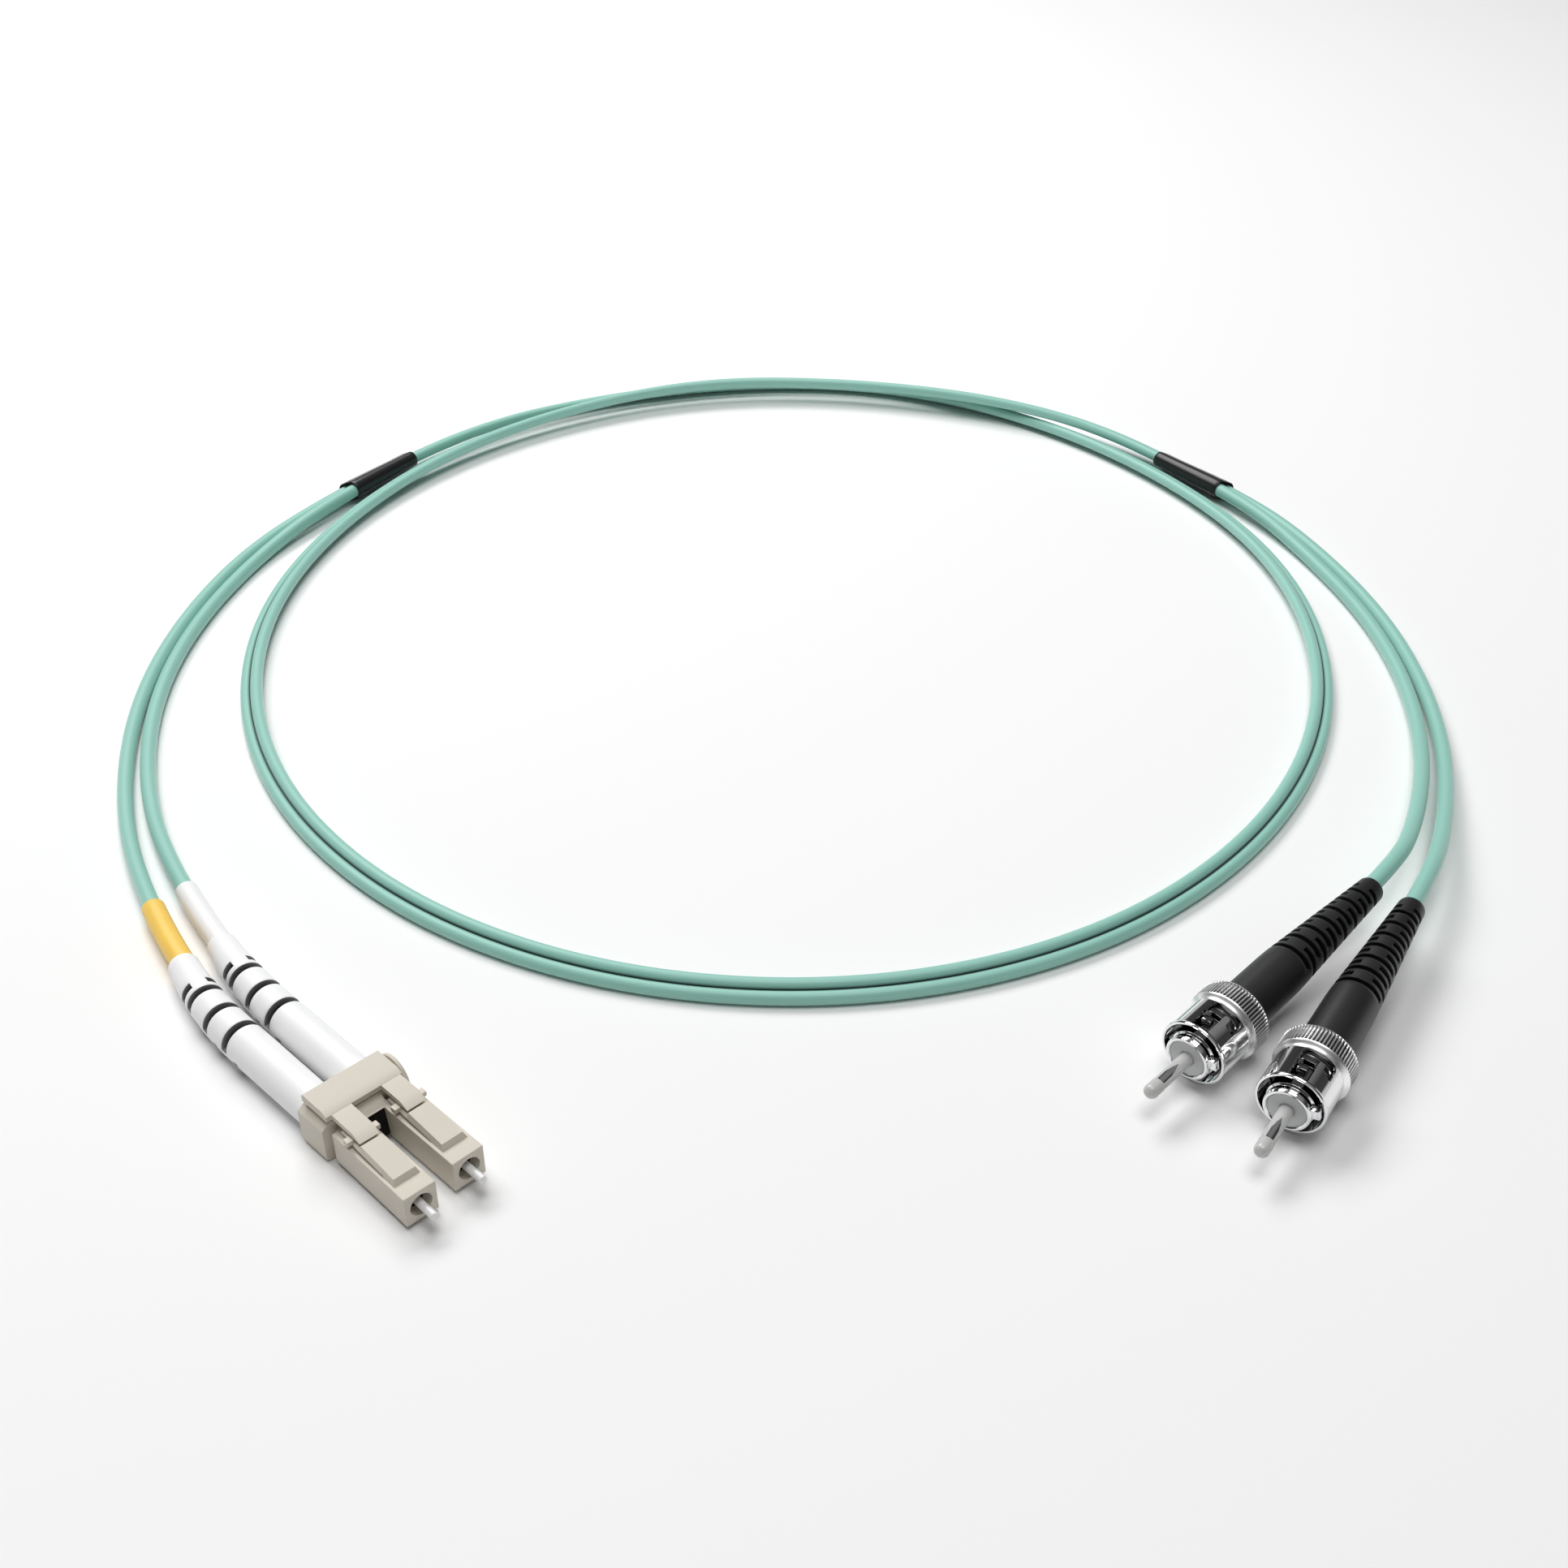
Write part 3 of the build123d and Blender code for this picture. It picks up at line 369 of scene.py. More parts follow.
def rounded(points, radius, steps=4, closed=True):
    """A 2-D outline with its corners rounded; radius is one number or one per corner."""
    pts = [np.array(p, float) for p in points]
    n = len(pts)
    radii = radius if isinstance(radius, (list, tuple)) else [radius] * n
    out = []
    for i, p in enumerate(pts):
        if not closed and i in (0, n - 1) or radii[i] <= 0:
            out.append(p)
            continue
        a, b = pts[i - 1] - p, pts[(i + 1) % n] - p
        la, lb = np.linalg.norm(a), np.linalg.norm(b)
        a, b = a / la, b / lb
        half = math.acos(max(-1, min(1, float(a @ b)))) / 2
        if abs(half - math.pi / 2) < 0.02:
            out.append(p)
            continue
        r = min(radii[i], 0.48 * min(la, lb) * math.tan(half))
        cut = r / math.tan(half)
        centre = p + (a + b) / np.linalg.norm(a + b) * r / math.sin(half)
        start, end = p + a * cut - centre, p + b * cut - centre
        a0, a1 = math.atan2(start[1], start[0]), math.atan2(end[1], end[0])
        turn = (a1 - a0 + math.pi) % TAU - math.pi
        for k in range(steps + 1):
            ang = a0 + turn * k / steps
            out.append(centre + r * np.array([math.cos(ang), math.sin(ang)]))
    return np.array(out)


def lathe(D, profile, seg=96, closed=True, radius_at=None):
    """Vertices and faces of a profile (forward, radius) turned about a datum's axis.
    radius_at(forward, radius, angle) may change the radius. A profile that is not closed ends on the axis."""
    prof = np.asarray(profile, float)
    ang = np.linspace(0, TAU, seg, endpoint=False)
    f = np.repeat(prof[:, 0:1], seg, axis=1)
    r = np.repeat(prof[:, 1:2], seg, axis=1)
    a = np.repeat(ang[None, :], len(prof), axis=0)
    if radius_at is not None:
        r = radius_at(f, r, a)
    pts = np.stack([f, r * np.cos(a), r * np.sin(a)], axis=-1)
    verts = D.put(pts).reshape(-1, 3)
    faces = grid_faces(len(prof), seg, True, closed)
    if not closed:
        faces.append(tuple(range(seg)))
        last = (len(prof) - 1) * seg
        faces.append(tuple(range(last, last + seg)))
    return verts, faces


def join_parts(parts):
    verts, faces, start = [], [], 0
    for v, f in parts:
        verts.append(np.asarray(v))
        faces += [tuple(i + start for i in face) for face in f]
        start += len(v)
    return np.concatenate(verts), faces


def bevelled(bm, least_angle, bevel, segments):
    """Bevels the edges that turn more than the least angle; gives vertices and faces, and frees the mesh."""
    bmesh.ops.recalc_face_normals(bm, faces=bm.faces)
    if bevel:
        edges = [e for e in bm.edges if len(e.link_faces) == 2 and e.calc_face_angle() > least_angle]
        bmesh.ops.bevel(bm, geom=edges, offset=bevel * MM, segments=segments, profile=0.5, affect="EDGES",
                        clamp_overlap=True)
    bm.verts.index_update()
    verts = np.array([v.co[:] for v in bm.verts])
    faces = [tuple(v.index for v in f.verts) for f in bm.faces]
    bm.free()
    return verts, faces


def prism(D, outline, low, high, plane="side", bevel=0.12, segments=3):
    """An outline in one of a datum's planes, made thick and bevelled.
    side: outline (forward, up), thick along side. top: (forward, side), thick along up.
    end: (side, up), thick along forward."""
    bm = bmesh.new()
    layers = []
    for level in (low, high):
        ring = []
        for a, b in outline:
            p = {"side": (a, level, b), "top": (a, b, level), "end": (level, a, b)}[plane]
            ring.append(bm.verts.new(D.put(np.array(p))))
        layers.append(ring)
    n = len(outline)
    bm.faces.new(layers[0])
    bm.faces.new(layers[1][::-1])
    for i in range(n):
        j = (i + 1) % n
        bm.faces.new((layers[0][j], layers[0][i], layers[1][i], layers[1][j]))
    return bevelled(bm, 0.45, bevel, segments)


SPRING_TURNS = 5.0


def coil(name, D, front, length, radius, wire, replaced, fixed):
    """A wire spring on a datum's axis. Its surface is a function of the way along the wire and the angle round it:
    a round section whose middle turns about the axis at a steady rate and runs back, slower near both ends,
    where a sine is taken from the steady run."""
    rows, sides = 220, 10
    k = np.linspace(0, 1, rows)[:, None]
    around = np.linspace(0, TAU, sides, endpoint=False)[None, :]
    middle = front - wire / 2 - (length - wire) * (k - 0.18 * np.sin(TAU * k) / TAU)
    turn = TAU * SPRING_TURNS * k
    r = radius - wire / 2 + wire / 2 * np.cos(around)
    points = np.stack([middle + wire / 2 * np.sin(around), r * np.cos(turn), r * np.sin(turn)], axis=-1)
    faces = grid_faces(rows, sides, True, False)
    faces += [tuple(range(sides)), tuple(range((rows - 1) * sides, rows * sides))]
    obj = finish_mesh(name, D.put(points).reshape(-1, 3), faces, M["steel"], sharp=60)
    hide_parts(replaced)
    tuple(D.at(fixed) * MM)
    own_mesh(obj)
    return obj


def cut_away(obj, cutters):
    """Subtracts closed meshes (vertices, faces) from an object, and keeps its material."""
    for verts, faces in cutters:
        tool = bpy.data.meshes.new("cutter")
        tool.from_pydata([tuple(v) for v in np.asarray(verts).tolist()], [], faces)
        bm = bmesh.new()
        bm.from_mesh(tool)
        bmesh.ops.recalc_face_normals(bm, faces=bm.faces)
        bm.to_mesh(tool)
        bm.free()
        helper = bpy.data.objects.new("cutter", tool)
        bpy.context.scene.collection.objects.link(helper)
        mod = obj.modifiers.new("cut", "BOOLEAN")
        mod.operation, mod.object, mod.solver = "DIFFERENCE", helper, "EXACT"
        bpy.context.view_layer.update()
        graph = bpy.context.evaluated_depsgraph_get()
        result = bpy.data.meshes.new_from_object(obj.evaluated_get(graph))
        obj.modifiers.clear()
        old = obj.data
        obj.data = result
        bpy.data.meshes.remove(old)
        bpy.data.objects.remove(helper)
        bpy.data.meshes.remove(tool)
    obj.data.polygons.foreach_set("use_smooth", [True] * len(obj.data.polygons))
    obj.data.set_sharp_from_angle(angle=math.radians(35))
    return obj


def weighted(obj):
    mod = obj.modifiers.new("weighted", "WEIGHTED_NORMAL")
    mod.keep_sharp = True
    return obj


# ---------------------------------------------------------------- cords

DUPLEX = [
    (-80.2, 164.1, 2.2), (-67.5, 183.2, 2.2), (-40.5, 200.8, 1.45), (-8.7, 209.3, 1.45),
    (23.4, 206.0, 1.45), (51.3, 189.0, 1.45), (72.7, 163.8, 1.45), (86.2, 134.4, 1.45),
    (89.1, 102.1, 1.45), (82.1, 70.4, 1.45), (65.4, 42.3, 1.45), (40.6, 21.3, 1.45),
    (10.1, 11.0, 1.45), (-22.4, 12.9, 1.45), (-51.8, 26.6, 1.45), (-74.5, 49.8, 1.45),
    (-88.4, 79.2, 1.45), (-92.5, 111.4, 1.45), (-86.3, 143.0, 1.45), (-70.3, 171.2, 2.4),
    (-46.5, 192.0, 3.2), (-18.5, 203.6, 4.0), (12.5, 203.2, 3.8), (42.0, 193.8, 4.3),
    (65.6, 179.6, 3.1), (76.7, 164.2, 2.2),
]


def route_line(name, points):
    """Points read along the NURBS spline through a route, in metres."""
    curve = bpy.data.curves.new(name, "CURVE")
    curve.dimensions = "3D"
    curve.resolution_u = 16
    spline = curve.splines.new("NURBS")
    spline.points.add(len(points) - 1)
    for target, p in zip(spline.points, points):
        target.co = (p[0] * MM, p[1] * MM, p[2] * MM, 1.0)
    spline.order_u = 3
    spline.use_endpoint_u = True
    obj = bpy.data.objects.new(name, curve)
    bpy.context.scene.collection.objects.link(obj)
    mesh = bpy.data.meshes.new_from_object(obj)
    line = np.array([v.co[:] for v in mesh.vertices])
    bpy.data.objects.remove(obj)
    bpy.data.curves.remove(curve)
    bpy.data.meshes.remove(mesh)
    return line


def distances(line):
    """Distance of each point from the first, along the line and in its own unit."""
    return np.concatenate([[0], np.cumsum(np.linalg.norm(np.diff(line, axis=0), axis=1))])


def read_at(d, dist, *tables):
    """Each table of points or directions, read at one distance."""
    return [np.array([np.interp(d, dist, table[:, k]) for k in range(3)]) for table in tables]


def frames_along(line):
    t = np.gradient(line, axis=0)
    t /= np.linalg.norm(t, axis=1)[:, None]
    right = np.stack([t[:, 1], -t[:, 0], np.zeros(len(t))], axis=1)
    right /= np.linalg.norm(right, axis=1)[:, None]
    up = np.cross(right, t)
    return t, right, up


def tube(line, section, closed_ends=True):
    """A section (right, up) in millimetres carried along a line; gives vertices, faces and UVs."""
    t, right, up = frames_along(line)
    section = np.asarray(section, float)
    pts = line[:, None, :] + MM * (section[None, :, 0:1] * right[:, None, :] + section[None, :, 1:2] * up[:, None, :])
    rows, cols = len(line), len(section)
    verts = pts.reshape(-1, 3)
    faces = grid_faces(rows, cols, True, False)
    if closed_ends:
        faces.append(tuple(range(cols)))
        faces.append(tuple(range((rows - 1) * cols, rows * cols)))
    dist = distances(line)
    uv = np.stack([np.tile(np.linspace(0, 1, cols), rows), np.repeat(dist, cols)], axis=1)
    return verts, faces, uv


def circle(radius, n):
    a = np.linspace(0, TAU, n, endpoint=False)
    return np.stack([radius * np.cos(a), radius * np.sin(a)], axis=1)


STRAND, PITCH, TILT = 1.0, 1.9, 27.0
half_web = math.asin(0.33 / STRAND)
arc = np.linspace(-math.pi + half_web, math.pi - half_web, 27)
lobe = np.stack([PITCH / 2 + STRAND * np.cos(arc), STRAND * np.sin(arc)], axis=1)
pair = np.concatenate([lobe, -lobe])
# painted shade: a mask that is one at the crease between the two strands and falls to nothing beside it
shade_and_polish_mask = np.clip(1.15 - np.abs(pair[:, 0]) / 0.27, 0, 1) ** 1.2
tilt = math.radians(TILT)
pair = np.stack([pair[:, 0] * math.cos(tilt) - pair[:, 1] * math.sin(tilt),
                 pair[:, 0] * math.sin(tilt) + pair[:, 1] * math.cos(tilt)], axis=1)

line = route_line("duplex_route", DUPLEX)
verts, faces, uv = tube(line, pair)
duplex = finish_mesh("duplex_jacket", verts, faces, M["jacket"], uv=uv, shade_and_polish_mask=np.tile(shade_and_polish_mask, len(line)), sharp=50)
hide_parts("duplex_cord")

HALF = 1.25                          # half the spacing of two legs in a shrink sleeve
LEG_BACK = {"a": 121.0, "b": 123.1}  # direction of each leg behind its boot, in degrees
BEND, BACK_RUN, BACK_Z = -46.5, 35, 1.75


def leg_start(D, lean, side):
    rise = HALF * side * math.sin(math.radians(lean))
    first = D.at(8.0, HALF * side * math.cos(math.radians(lean)), rise)
    second = D.at(24.0, HALF * side, rise)
    return [tuple(first), tuple(second)]


def lc_leg_end(D, back):
    bend = D.at(BEND)
    h = math.radians(back)
    rear = (bend[0] + BACK_RUN * math.cos(h), bend[1] + BACK_RUN * math.sin(h), BACK_Z)
    return [rear, tuple(bend), tuple(D.at(-25.5))]


def st_leg_end(D):
    return [tuple(D.at(-48.5)), tuple(D.at(-24.0))]


# heights at the shrink sleeves lie in the datum, so D.at gives the right z
LEGS = {
    "a": leg_start(SHRINK_L, 27, -1) + [(-100.5, 132.2, 1.2), (-105.8, 108.6, 1.2), (-106.7, 84.6, 1.2),
                                        (-102.9, 60.6, 1.2)] + lc_leg_end(LC_A, LEG_BACK["a"]),
    "b": leg_start(SHRINK_L, 27, 1) + [(-97.7, 131.9, 1.2), (-103.3, 108.6, 1.2), (-104.1, 85.1, 1.2),
                                       (-99.9, 62.1, 1.2)] + lc_leg_end(LC_B, LEG_BACK["b"]),
    "c": leg_start(SHRINK_R, -27, -1) + [(93.1, 132.9, 1.2), (98.7, 110.6, 1.2), (100.0, 88.6, 1.2),
                                         (97.2, 67.6, 1.5), (89.8, 46.1, 4.2)] + st_leg_end(ST_C),
    "d": leg_start(SHRINK_R, -27, 1) + [(95.7, 133.4, 1.2), (101.5, 110.1, 1.2), (102.7, 87.1, 1.2),
                                        (100.2, 65.6, 1.5), (93.0, 43.1, 4.2)] + st_leg_end(ST_D),
}
LEG_LINES = {}
LEG_OBJECTS = {}
for tag, points in LEGS.items():
    line = route_line("leg_route_" + tag, points)
    verts, faces, uv = tube(line, circle(1.2, 32))
    obj = finish_mesh("leg_jacket_" + tag, verts, faces, M["jacket"], uv=uv, sharp=50,
                      shade_and_polish_mask=np.zeros(len(verts)))
    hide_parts("leg_" + tag)
    LEG_LINES[tag], LEG_OBJECTS[tag] = line, obj


# ---------------------------------------------------------------- shrink sleeves

def shrink_sleeve(name, D, lean, replaced):
    """Black shrink sleeve: a stadium section that grows from the cord to the legs, waisted over the pair.
    The outer face, the rolled lips and the inner face make one closed skin."""
    n, lean = 64, math.radians(lean)
    a = np.linspace(0, TAU, n, endpoint=False)

    def section(width, height, waist):
        half = (width - height) / 2
        x = np.sign(np.cos(a)) * half + height / 2 * np.cos(a)
        y = height / 2 * np.sin(a)
        y = y * (1 - waist * np.exp(-(x / (0.35 * height)) ** 2))
        return np.stack([x, y], axis=1)

    def place(f, sec):
        s = sec[:, 0] * math.cos(lean) - sec[:, 1] * math.sin(lean)
        u = sec[:, 0] * math.sin(lean) + sec[:, 1] * math.cos(lean)
        return D.put(np.stack([np.full(n, f), s, u], axis=1))

    rows = []
    for k in np.linspace(0, 1, 22):
        f = 0.15 + 16.7 * k
        grow = k * k * (3 - 2 * k)
        rows.append((f, 4.75 + 1.0 * grow, 3.05 + 0.5 * grow, 0.12 * (1 - 0.7 * grow)))
    outer = [place(f, section(w, h, q)) for f, w, h, q in rows]
    first, last = rows[0], rows[-1]
    lips_front = [place(f, section(w, h, first[3])) for f, w, h in
                  ((0.04, first[1] - 0.12, first[2] - 0.12), (0.0, first[1] - 0.28, first[2] - 0.28))]
    lips_rear = [place(f, section(w, h, last[3])) for f, w, h in
                 ((16.96, last[1] - 0.12, last[2] - 0.12), (17.0, last[1] - 0.3, last[2] - 0.3),
                  (16.9, last[1] - 0.5, last[2] - 0.5))]
    inner = [place(11.0, section(5.0, 2.52, 0.05)), place(4.0, section(3.98, 2.06, 0.05))]
    loops = lips_front[::-1] + outer + lips_rear + inner + [place(0.3, section(3.98, 2.06, 0.08))]
    verts = np.concatenate(loops)
    faces = grid_faces(len(loops), n, True, True)
    obj = finish_mesh(name, verts, faces, M["shrink"], sharp=60)
    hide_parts(replaced)
    return obj


shrink_l = shrink_sleeve("shrink_sleeve_left", SHRINK_L, 27, "heat_shrink_lc")
shrink_r = shrink_sleeve("shrink_sleeve_right", SHRINK_R, -27, "heat_shrink_st")


# ---------------------------------------------------------------- boots

def slotted_boot(name, line, radii, slots, bore, mat, replaced, edge=0.05):
    """A boot as one closed skin round a line: the outer radius is a function of distance and angle,
    and drops to a slot's floor inside each slot. Slots are (distance, width, middle angle, half angle, floor)."""
    dist = distances(line) / MM
    total = dist[-1]
    stations = set(np.linspace(0.35, total - 0.35, 46).round(3))
    angles = set(np.linspace(0, 360, 72, endpoint=False).round(2))
    for at, width, middle, half, floor in slots:
        for side in (-1, 1):
            for nudge in (-edge, 0.0, edge):
                stations.add(round(at + side * width / 2 + nudge, 3))
                angles.add(round((middle + side * half + nudge * 18) % 360, 2))
    stations = np.array(sorted(stations))
    angles = np.array(sorted(angles))
    stations = stations[np.concatenate([[True], np.diff(stations) > 0.012])]
    angles = angles[np.concatenate([[True], np.diff(angles) > 0.25])]
    outer = np.interp(stations, [p[0] for p in radii], [p[1] for p in radii])
    r = np.repeat(outer[:, None], len(angles), axis=1)
    for at, width, middle, half, floor in slots:
        along = np.abs(stations - at) - width / 2
        round_about = np.abs((angles - middle + 180) % 360 - 180) - half
        inside = (along[:, None] < -0.5 * edge) & (round_about[None, :] < -0.5 * edge * 18)
        rim = (along[:, None] < 0.5 * edge) & (round_about[None, :] < 0.5 * edge * 18) & ~inside
        r = np.where(inside, floor, np.where(rim, np.maximum(r - 0.04, floor), r))
    a = np.radians(angles)
    t, right, up = frames_along(line)

    def ring(d, radius):
        centre, side, top = read_at(d, dist, line, right, up)
        return centre + MM * (radius * np.cos(a))[:, None] * side + MM * (radius * np.sin(a))[:, None] * top

    # painted shade: slot walls get 0.7 and slot floors 1.0 of the dark shade colour
    slot_shade = np.zeros_like(r)
    for at, width, middle, half, floor in slots:
        slot_shade[r < outer[:, None] - 0.02] = 0.7
    for at, width, middle, half, floor in slots:
        slot_shade[r <= floor + 1e-6] = 1.0
    full = np.ones(len(a))
    rows = [ring(0.0, full * (outer[0] - 0.35)), ring(0.1, full * (outer[0] - 0.12))]
    rows += [ring(d, r[i]) for i, d in enumerate(stations)]
    rows += [ring(total - 0.1, full * (outer[-1] - 0.1)), ring(total, full * (outer[-1] - 0.32)),
             ring(total, full * (bore + 0.12)), ring(total - 0.12, full * bore)]
    rows += [ring(total - 2.0, full * bore), ring(0.8, full * bore), ring(0.0, full * (bore + 0.05))]
    verts = np.concatenate(rows)
    faces = grid_faces(len(rows), len(a), True, True)
    blank = np.zeros(len(a))
    # painted shade: the bore rows are fully marked for the dark shade colour
    shade = np.concatenate([blank, blank] + list(slot_shade) + [blank] * 4 + [blank + 1] * 3)
    obj = finish_mesh(name, verts, faces, mat, sharp=40, shade_and_polish_mask=shade)
    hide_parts(replaced)
    return obj


def bent_line(D, start, back):
    """Middle line of a square connector's boot: straight, then a smooth bend to the leg's direction."""
    bend, h = D.at(BEND), math.radians(back)
    away = np.array([math.cos(h), math.sin(h), 0.0])
    rear_point = bend + BACK_RUN * away
    rear_point[2] = BACK_Z
    away = rear_point - bend
    away /= np.linalg.norm(away)
    cut = 9.45
    p0, p1, p2, p3 = D.at(start), D.at(BEND + cut), bend + away * cut, bend + away * 10.6
    out = [p0 + (p1 - p0) * k for k in np.linspace(0, 1, 12)]
    for k in np.linspace(0, 1, 16)[1:]:
        out.append((1 - k) ** 2 * p1 + 2 * k * (1 - k) * bend + k * k * p2)
    out.append(p3)
    return np.array(out) * MM


BOOT_FRONT = -20.2
LC_SLOTS = [(17.8, 90, 93, 1.5), (22.6, 90, 93, 1.48), (27.4, 90, 93, 1.45),
            (15.4, 270, 83, 1.5), (20.2, 270, 83, 1.48), (25.0, 270, 83, 1.45),
            (29.45, 150, 34, 1.45), (29.45, 30, 34, 1.45)]
LC_RADII = [(0, 2.7), (15.35, 2.75), (21.35, 2.7), (28.35, 2.5), (33.35, 2.2), (37.35, 2.05)]
for tag, D in (("a", LC_A), ("b", LC_B)):
    line = bent_line(D, BOOT_FRONT, LEG_BACK[tag])
    slotted_boot("square_boot_" + tag, line, LC_RADII,
                 [(at, 1.15, mid, half, floor) for at, mid, half, floor in LC_SLOTS],
                 1.3, M["white_boot"], "lc_boot_" + tag)

ST_RADII = [(0, 3.4), (9.6, 3.36), (11.4, 3.3), (33.0, 1.88), (33.35, 1.85)]
for tag, D in (("c", ST_C), ("d", ST_D)):
    slots = []
    for row in range(7):
        at = 21.65 + row * 2.85 - 9.35
        floor = 2.45 - 0.15 * row
        slots += [(at, 0.8, 90, 72, floor), (at, 0.8, 270, 72, floor)]
        slots += [(at + 1.425, 0.8, 0, 66, floor), (at + 1.425, 0.8, 180, 66, floor)]
    line = np.array([D.at(-9.35 - 33.35 * k) for k in np.linspace(0, 1, 40)]) * MM
    slotted_boot("bayonet_boot_" + tag, line, ST_RADII, slots, 1.28, M["boot"], "st_boot_" + tag)


# ---------------------------------------------------------------- coloured sleeves

def leg_sleeve(name, tag, D, mat, replaced):
    """A sleeve on a leg behind its boot, with rounded lips, following the leg's own line."""
    leg = LEG_LINES[tag]
    rear = bent_line(D, BOOT_FRONT, LEG_BACK[tag])[-1]
    near = int(np.argmin(np.linalg.norm(leg - rear, axis=1)))
    dist = distances(leg) / MM
    stop, start = dist[near] + 0.9, dist[near] - 14.0
    marks = [(start, 1.32), (start + 0.02, 1.5), (start + 0.15, 1.6), (start + 0.4, 1.62)]
    marks += [(start + 0.4 + (stop - start - 0.5) * k, 1.62) for k in np.linspace(0, 1, 12)[1:]]
    marks += [(stop, 1.3)]
    t, right, up = frames_along(leg)
    a = np.linspace(0, TAU, 48, endpoint=False)
    rows = []
    for d, radius in marks + [(stop - 2, 1.22), (start + 2, 1.22)]:
        c, s, u = read_at(d, dist, leg, right, up)
        rows.append(c + MM * radius * (np.cos(a)[:, None] * s + np.sin(a)[:, None] * u))
    obj = finish_mesh(name, np.concatenate(rows), grid_faces(len(rows), 48, True, True), mat, sharp=50)
    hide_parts(replaced)
    return obj


sleeve_y = leg_sleeve("yellow_leg_sleeve", "a", LC_A, M["yellow"], "lc_sleeve_yellow")
sleeve_w = leg_sleeve("white_leg_sleeve", "b", LC_B, M["white_sleeve"], "lc_sleeve_white")


# ---------------------------------------------------------------- square connectors

def loft(D, rings, bevel=0.07, segments=2):
    """A closed solid through rings of points (forward, side, up), all with the same count, bevelled."""
    bm = bmesh.new()
    rows = [[bm.verts.new(D.put(np.array(p))) for p in ring] for ring in rings]
    n = len(rings[0])
    for one, two in zip(rows[:-1], rows[1:]):
        for i in range(n):
            bm.faces.new((one[i], one[(i + 1) % n], two[(i + 1) % n], two[i]))
    bm.faces.new(rows[0])
    bm.faces.new(rows[-1][::-1])
    return bevelled(bm, 0.3, bevel, segments)


def plate_ring(f, bottom, top, low, high):
    """One station of a latch plate: half widths at the bottom and the top, and their heights."""
    return [(f, -bottom, low), (f, bottom, low), (f, top, high), (f, -top, high)]


for tag, D, rear in (("a", NOSE_A, -14.6), ("b", NOSE_B, -14.3)):
    # housing: a square body with rounded edges and a deep round mouth
    verts, faces = prism(D, [(-2.24, -2.2), (2.24, -2.2), (2.24, 2.2), (-2.24, 2.2)], rear, 0.0, "end", 0.13)
    housing = finish_mesh("square_housing_" + tag, verts, faces, M["cream"])
    bore = lathe(D, [(0.5, 1.52), (-6.5, 1.52), (-6.5, 1.8), (-15.5, 1.8)], 72, closed=False)
    cut_away(housing, [bore])
    weighted(housing)
    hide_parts("lc_housing_" + tag)

    # latch lever: a plate that rises to the rear from its root, with two lugs
    plate = loft(D, [plate_ring(-2.4, 1.82, 1.8, 2.18, 2.24), plate_ring(-2.85, 1.82, 1.52, 2.18, 2.95),
                     plate_ring(-4.6, 1.82, 1.5, 2.18, 3.08), plate_ring(-4.75, 1.82, 1.5, 2.42, 3.1),
                     plate_ring(-9.38, 1.8, 1.48, 2.68, 3.5), plate_ring(-9.52, 1.8, 1.48, 2.68, 2.98),
                     plate_ring(-13.6, 1.5, 1.3, 2.7, 2.98)], 0.05)
    lugs = [prism(D, [(side * 1.43, 2.66), (side * 2.3, 2.66), (side * 2.3, 3.34), (side * 1.43, 3.34)],
                  -11.9, -10.95, "end", 0.05) for side in (-1, 1)]
    verts, faces = join_parts([plate] + lugs)
    latch = weighted(finish_mesh("latch_lever_" + tag, verts, faces, M["cream"], body="latch_" + tag))
    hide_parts("lc_latch_" + tag)

    # ferrule with a rounded tip
    prof = rounded([(2.75, 0), (2.75, 0.53), (-7.5, 0.53), (-7.5, 0)], [0, 0.4, 0.05, 0], 8, closed=False)
    verts, faces = lathe(D, prof, 48, closed=False)
    ferrule = finish_mesh("square_ferrule_" + tag, verts, faces, M["ceramic"], body="ferrule_" + tag)
    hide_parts("lc_ferrule_" + tag)

    # painted shade: a near-black sleeve deep in the mouth
    verts, faces = lathe(D, [(-1.7, 1.4), (-1.7, 1.53), (-6.4, 1.53), (-6.4, 1.4)], 64)
    mouth_shade = finish_mesh("mouth_painted_shade_" + tag, verts, faces, M["painted_shade"])

    # flange round the ferrule, deep in the mouth and made near-black as painted shade, and the backbone behind the
    # housing
    prof = rounded([(-5.0, 0.54), (-5.0, 1.44), (-6.2, 1.44), (-6.2, 0.54)], [0.1, 0.15, 0.1, 0], 4)
    verts, faces = lathe(D, prof, 48)
    flange = finish_mesh("ferrule_flange_" + tag, verts, faces, M["painted_shade"], body="ferrule_" + tag)
    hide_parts("lc_ferrule_flange_" + tag)
    verts, faces = lathe(D, [(-11.7, 0.8), (-11.7, 1.74), (-17.4, 1.74), (-17.4, 0.8)], 48)
    bone = finish_mesh("square_backbone_" + tag, verts, faces, M["cream"])
    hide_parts("lc_backbone_" + tag)
    coil("square_spring_" + tag, D, -7.85, 3.75, 1.35, 0.28, "lc_spring_" + tag, -11.6)

# duplex clip with a cove between the two housings
outline = [(-6.25, -2.25), (-5.8, -2.75), (5.8, -2.75), (6.25, -2.25), (6.25, 2.25), (4.9, 3.15), (-4.9, 3.15),
           (-6.25, 2.25)]
block = prism(LC, outline, -20.55, -15.35, "end", 0.12)
slope = [(-15.5 + 1.8 * (1 - math.cos(k / 8 * math.pi / 2)), 3.1 - 0.95 * math.sin(k / 8 * math.pi / 2))
         for k in range(9)]
cove = prism(LC, slope + [(-15.5, 2.15)], -1.85, 2.33, "side", 0)
